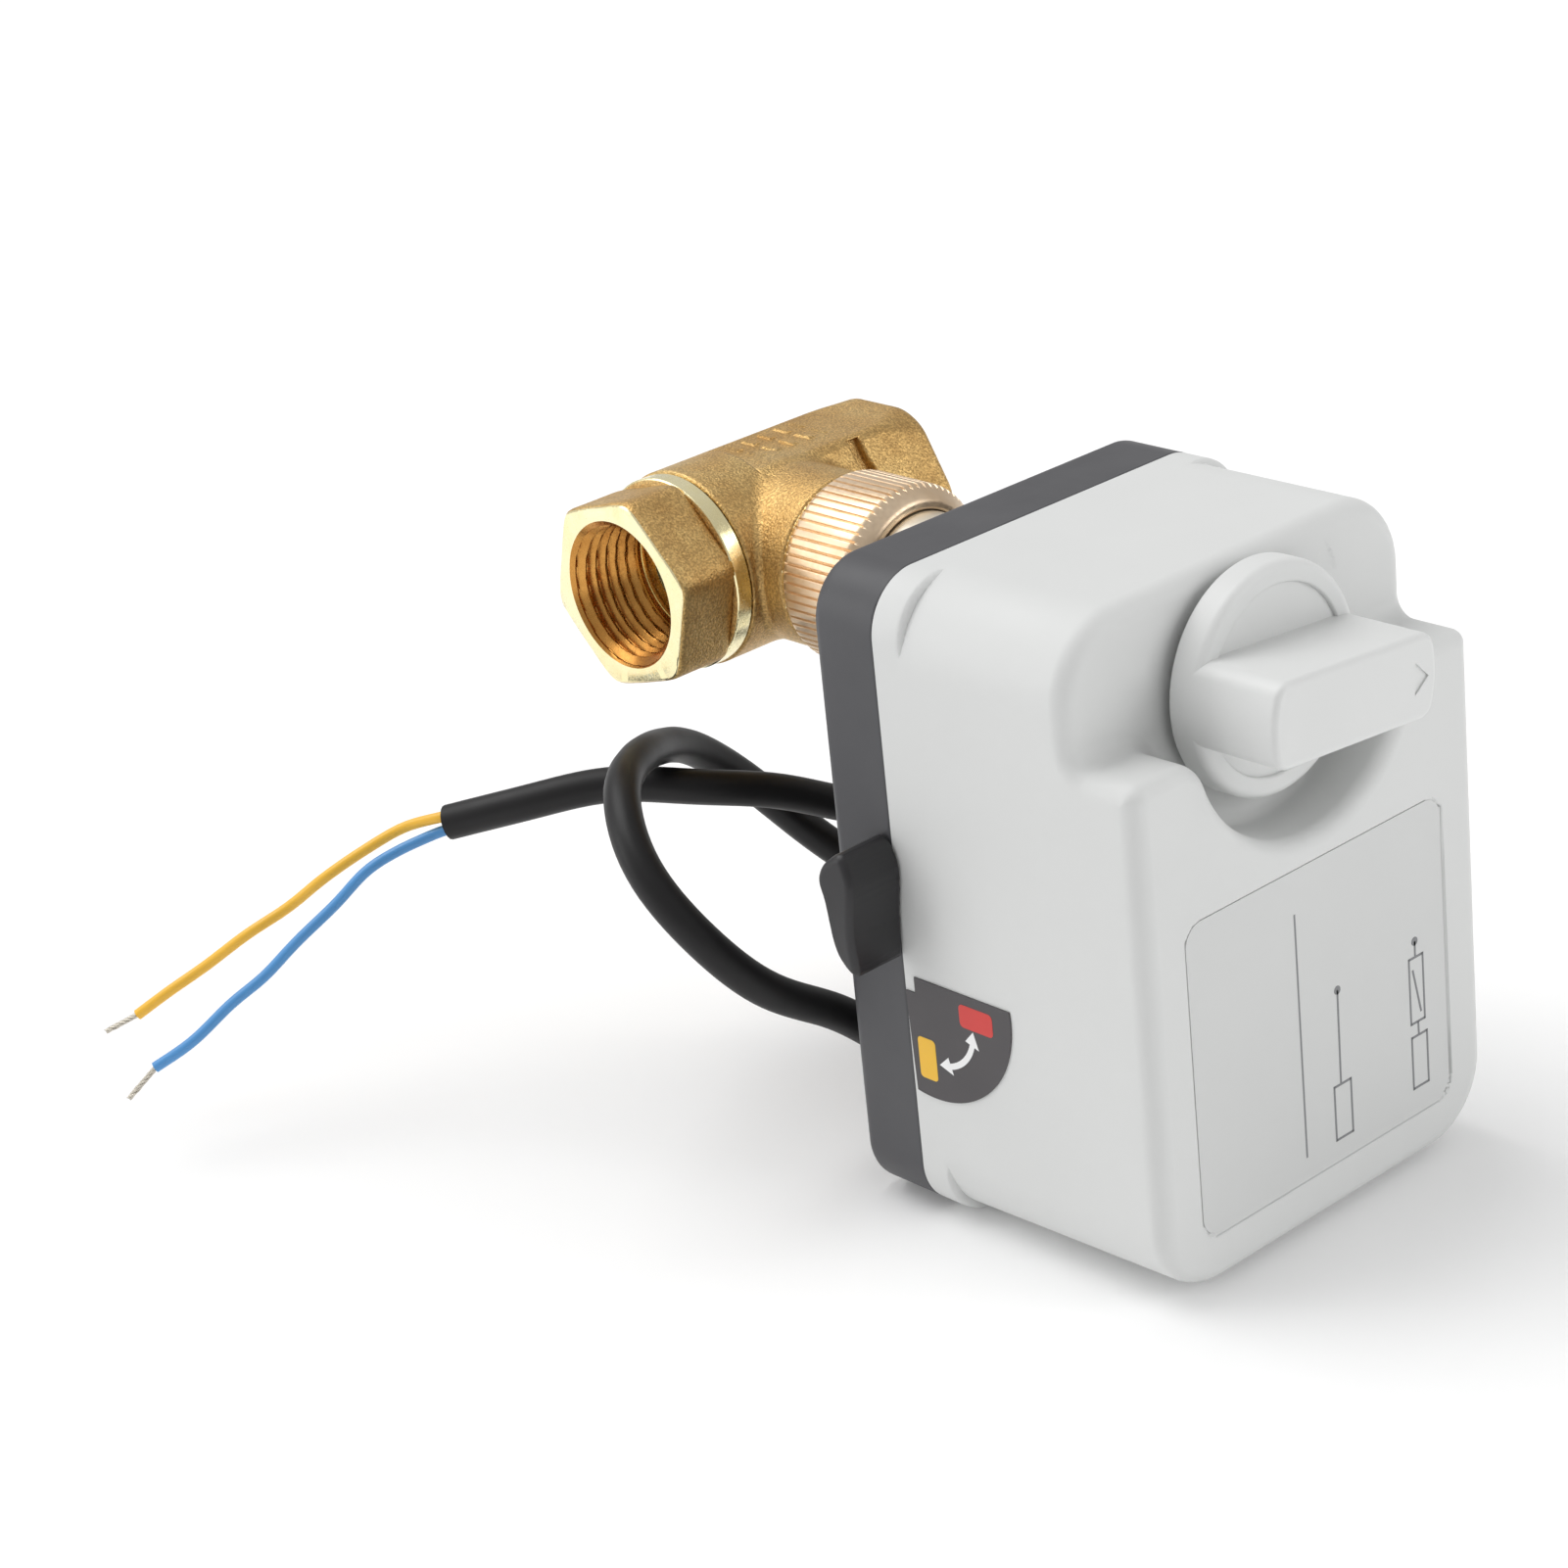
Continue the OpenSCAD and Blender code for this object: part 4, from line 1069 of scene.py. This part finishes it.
# ---- cable gland with its tapered strain relief ----
rings = [(-51.0, 0.02), (-51.0, 3.3), (-50.7, 3.55), (-45.98, 3.55), (-45.98, 5.35), (-45.75, 5.6), (-44.75, 5.6), (-44.45, 5.35), (-44.35, 4.75), (-44.2, 4.6)]
yy = -43.1
for k in range(9):
    outer = 4.6 - 1.4 * (yy + 44.5) / 20.5
    rings += [(yy, outer), (yy + 0.15, outer - 0.12), (yy + 0.3, 3.2), (yy + 0.5, 2.98), (yy + 0.75, 2.98), (yy + 0.95, 3.2), (yy + 1.05, outer - 0.2), (yy + 1.2, outer - 0.06)]
    yy += 2.0
rings += [(-24.6, 3.22), (-24.15, 3.1), (-24.0, 2.85), (-24.05, 2.62), (-26.0, 2.5), (-26.0, 0.02)]
gland = polar("cable_gland_moulding", [(a, np.full(64, float(r))) for a, r in rings], ["cable_black"], 0, axis="y", centre=(8, 0, -55), closed=False, sharp=50)
finish_piece(gland, "root", ["cable_gland"])


# ---- printed and stuck-on marks: thin flat pieces ----
def flats(name, shapes, place, thick, body, mats, replaced=()):
    """Flat outlines (each a list of 2-D points, with a material number) as one thin mesh. place maps (u, v, w) to x, y, z."""
    bm = bmesh.new()
    for pts, mi in shapes:
        pts = list(pts)
        area = sum(pts[i - 1][0] * pts[i][1] - pts[i][0] * pts[i - 1][1] for i in range(len(pts)))
        if area < 0:
            pts.reverse()
        low = [bm.verts.new(tuple(to_m(place(u, v, 0.0)))) for u, v in pts]
        top = [bm.verts.new(tuple(to_m(place(u, v, thick)))) for u, v in pts]
        n = len(pts)
        faces = [bm.faces.new(top), bm.faces.new(list(reversed(low)))]
        for i in range(n):
            j = (i + 1) % n
            faces.append(bm.faces.new((low[i], low[j], top[j], top[i])))
        for f in faces:
            f.material_index = mi
    bmesh.ops.recalc_face_normals(bm, faces=bm.faces)
    me = bpy.data.meshes.new(name)
    bm.to_mesh(me)
    bm.free()
    for m in mats:
        me.materials.append(MATS[m])
    o = bpy.data.objects.new(name, me)
    bpy.context.scene.collection.objects.link(o)
    return finish_piece(o, body, replaced)


def bar(x0, z0, x1, z1, w):
    dx, dz = x1 - x0, z1 - z0
    ln = math.hypot(dx, dz)
    nx, nz = -dz / ln * w / 2, dx / ln * w / 2
    return [(x0 + nx, z0 + nz), (x1 + nx, z1 + nz), (x1 - nx, z1 - nz), (x0 - nx, z0 - nz)]


def disc(x, z, r, n=28):
    return [(x + r * math.cos(2 * math.pi * i / n), z + r * math.sin(2 * math.pi * i / n)) for i in range(n)]


def frame_lines(x0, x1, z0, z1, w):
    return [bar(x0, z0, x1, z0, w), bar(x1, z0 - w / 2, x1, z1 + w / 2, w), bar(x1, z1, x0, z1, w), bar(x0, z1 + w / 2, x0, z0 - w / 2, w)]


def rounded(x0, x1, z0, z1, r, n=6):
    out = []
    for cx, cz, a0 in ((x1 - r, z1 - r, 0), (x0 + r, z1 - r, 90), (x0 + r, z0 + r, 180), (x1 - r, z0 + r, 270)):
        out += [(cx + r * math.cos(math.radians(a0 + 90 * i / n)), cz + r * math.sin(math.radians(a0 + 90 * i / n))) for i in range(n + 1)]
    return out


def arc_band(cx, cz, r, a0, a1, w, n=18):
    t = [math.radians(a0 + (a1 - a0) * i / n) for i in range(n + 1)]
    return [(cx + (r + w / 2) * math.cos(a), cz + (r + w / 2) * math.sin(a)) for a in t] + \
           [(cx + (r - w / 2) * math.cos(a), cz + (r - w / 2) * math.sin(a)) for a in reversed(t)]


def front_at(depth):
    return lambda u, v, w: (u, -BACK - depth - w, v)


def side_at(x):
    return lambda u, v, w: (x - w, -BACK - u, v)


L = 0.34
dx, dz = -32.0, -75.0
marks = [bar(27.5 + dx, 45.8 + dz, 27.5 + dx, 11.1 + dz, 0.3)]
marks += [disc(34.9 + dx, 32.2 + dz, 0.62), bar(34.9 + dx, 32.2 + dz, 34.75 + dx, 18.9 + dz, L)] + frame_lines(33.4 + dx, 36.7 + dx, 11.0 + dz, 18.7 + dz, L)
marks += [disc(50.5 + dx, 32.9 + dz, 0.62), bar(50.5 + dx, 32.9 + dz, 50.5 + dx, 30.8 + dz, L)] + frame_lines(49.2 + dx, 52.0 + dx, 21.2 + dz, 30.6 + dz, L)
marks += [bar(51.3 + dx, 22.4 + dz, 49.9 + dx, 28.9 + dz, L), bar(50.6 + dx, 21.2 + dz, 50.65 + dx, 19.3 + dz, L)] + frame_lines(49.2 + dx, 52.3 + dx, 11.7 + dz, 19.2 + dz, L)
flats("label_print", [(m, 0) for m in marks], front_at(54.4), 0.03, "root", ["print_grey"])

sector = []
n = 48
for i in range(n + 1):
    a = math.radians(-104 + 112.5 * i / n)
    sector.append((15.1 + 15.4 * math.cos(a), -40.4 + 15.4 * math.sin(a)))
sector = [p for p in sector if p[0] >= 11.45 and p[1] <= -38.7]
sector += [(30.35, -38.7), (13.2, -38.7), (13.2, -41.0), (11.45, -41.0)]
flats("mode_sticker", [(sector, 0)], side_at(-32.02), 0.2, "root", ["film_dark"], ["mode_label"])
colour = [(rounded(21.2, 27.2, -43.4, -40.1, 0.7), 0), (rounded(12.9, 16.1, -53.2, -47.2, 0.6), 1)]
arrow = [(arc_band(16.7, -43.6, 6.75, -72, -18, 0.85), 2)]
for a, s_ in ((-18, 1), (-72, -1)):
    t = math.radians(a)
    cx_, cz_ = 16.7 + 6.75 * math.cos(t), -43.6 + 6.75 * math.sin(t)
    tx, tz = -math.sin(t) * s_, math.cos(t) * s_
    nx, nz = math.cos(t), math.sin(t)
    arrow.append(([(cx_ + nx * 1.25, cz_ + nz * 1.25), (cx_ - nx * 1.25, cz_ - nz * 1.25), (cx_ + tx * 2.1 - nx * 0.3, cz_ + tz * 2.1 - nz * 0.3)], 2))
flats("mode_print", colour + arrow, side_at(-32.22), 0.03, "root", ["film_red", "film_yellow", "film_white"])
# ---------------------------------------------------------------- carried-over nodes
CARRY = {
    "valve_body": "brass_cast", "end_adapter": "brass_cast", "ball": "chromed", "ball_seats": "ptfe", "valve_stem": "brass_turned",
    "stem_orings": "seal_rubber", "thrust_washer": "ptfe", "union_nut": "brass_nut", "nut_slip_washer": "ptfe", "actuator_neck": "nickel",
    "neck_retaining_ring": "spring_steel", "neck_screws": "zinc", "back_plate": "base_charcoal", "front_cover": "cover_grey",
    "cover_gasket": "seal_rubber", "cover_screws": "zinc", "front_label": "label_grey", "mode_label": "film_dark", "knob": "knob_grey",
    "knob_shaft_oring": "seal_rubber", "clutch_lever": "lever_black", "lever_oring": "seal_rubber", "clutch_crank": "zinc",
    "clutch_yoke": "zinc", "yoke_guide_rods": "chromed", "output_shaft": "nickel", "output_gear": "acetal", "limit_cam": "acetal",
    "idler_gear": "acetal", "idler_arbor": "chromed", "motor_pinion": "nickel", "gear_plate": "zinc", "output_bush": "brass_turned",
    "plate_screws": "zinc", "motor_can": "motor_steel", "motor_flange": "zinc", "motor_screws": "zinc", "limit_switches": "switch_black",
    "switch_plungers": "ptfe", "switch_screws": "zinc", "board_spacers": "brass_turned", "circuit_board": "board_green", "board_screws": "zinc",
    "relay": "relay_blue", "capacitor": "capacitor_yellow", "terminal_block": "terminal_green", "cable_gland": "cable_black",
    "gland_nut": "cable_black", "cable_sheath": "cable_black", "wire_yellow": "wire_yellow", "wire_blue": "wire_blue", "wire_tips": "tinned",
}
for name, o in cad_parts.items():
    o.data.materials.clear()
    o.data.materials.append(MATS[CARRY[name]])

# ---------------------------------------------------------------- stage
def stage():
    me = bpy.data.meshes.new("floor")
    me.from_pydata([(-6, -6, 0), (6, -6, 0), (6, 6, 0), (-6, 6, 0)], [], [(0, 1, 2, 3)])
    floor = bpy.data.objects.new("floor", me)
    floor.location = (0, 0, (-75.0 - 0.4) / 1000)
    bpy.context.scene.collection.objects.link(floor)
    m = Mat("floor_white")
    m.put("Base Color", m.ramp(m.noise(0.8, 2.0), [(0.3, (0.93, 0.93, 0.93)), (0.7, (0.95, 0.95, 0.95))]))
    m.put("Roughness", 0.9)
    m.put("Specular IOR Level", 0.1)
    m.put("Emission Color", (1.0, 1.0, 1.0, 1.0))
    m.put("Emission Strength", 0.06)
    me.materials.append(m.m)
    w = bpy.data.worlds.new("studio")
    w.use_nodes = True
    nt = w.node_tree
    bg = nt.nodes["Background"]
    tc = nt.nodes.new("ShaderNodeTexCoord")
    sep = nt.nodes.new("ShaderNodeSeparateXYZ")
    nt.links.new(tc.outputs["Generated"], sep.inputs["Vector"])
    dirs = []
    for axis, lo, hi in (("Z", 0.4, 0.56), ("Y", -0.12, 0.12)):
        up = nt.nodes.new("ShaderNodeMapRange")
        for k, v in (("From Min", -0.9), ("From Max", 0.9), ("To Min", lo), ("To Max", hi)):
            up.inputs[k].default_value = v
        nt.links.new(sep.outputs[axis], up.inputs["Value"])
        dirs.append(up.outputs["Result"])
    both = nt.nodes.new("ShaderNodeMath")
    nt.links.new(dirs[0], both.inputs[0])
    nt.links.new(dirs[1], both.inputs[1])
    nt.links.new(both.outputs[0], bg.inputs["Strength"])
    bg.inputs["Color"].default_value = (1, 1, 1, 1)
    bpy.context.scene.world = w

    def area(name, place, aim, size, power, size_y=None, col=(1, 1, 1)):
        d = bpy.data.lights.new(name, "AREA")
        d.shape = "RECTANGLE"
        d.size, d.size_y = size, size_y or size
        d.energy = power
        d.color = col
        o = bpy.data.objects.new(name, d)
        bpy.context.scene.collection.objects.link(o)
        o.location = place
        o.rotation_mode = "QUATERNION"
        o.rotation_quaternion = (Vector(aim) - Vector(place)).to_track_quat("-Z", "Y")

    area("key", (-0.6, 1.3, 2.9), (-0.03, -0.05, -0.03), 2.6, 62.0)
    area("side", (-2.1, 1.9, 0.9), (-0.03, -0.05, -0.03), 1.6, 15.5)
    area("front", (1.3, -2.4, 0.9), (-0.03, -0.05, -0.03), 1.8, 25.0)
    s = bpy.context.scene
    s.view_settings.view_transform = "Standard"
    s.view_settings.look = "None"
    s.view_settings.exposure = 0.0


stage()
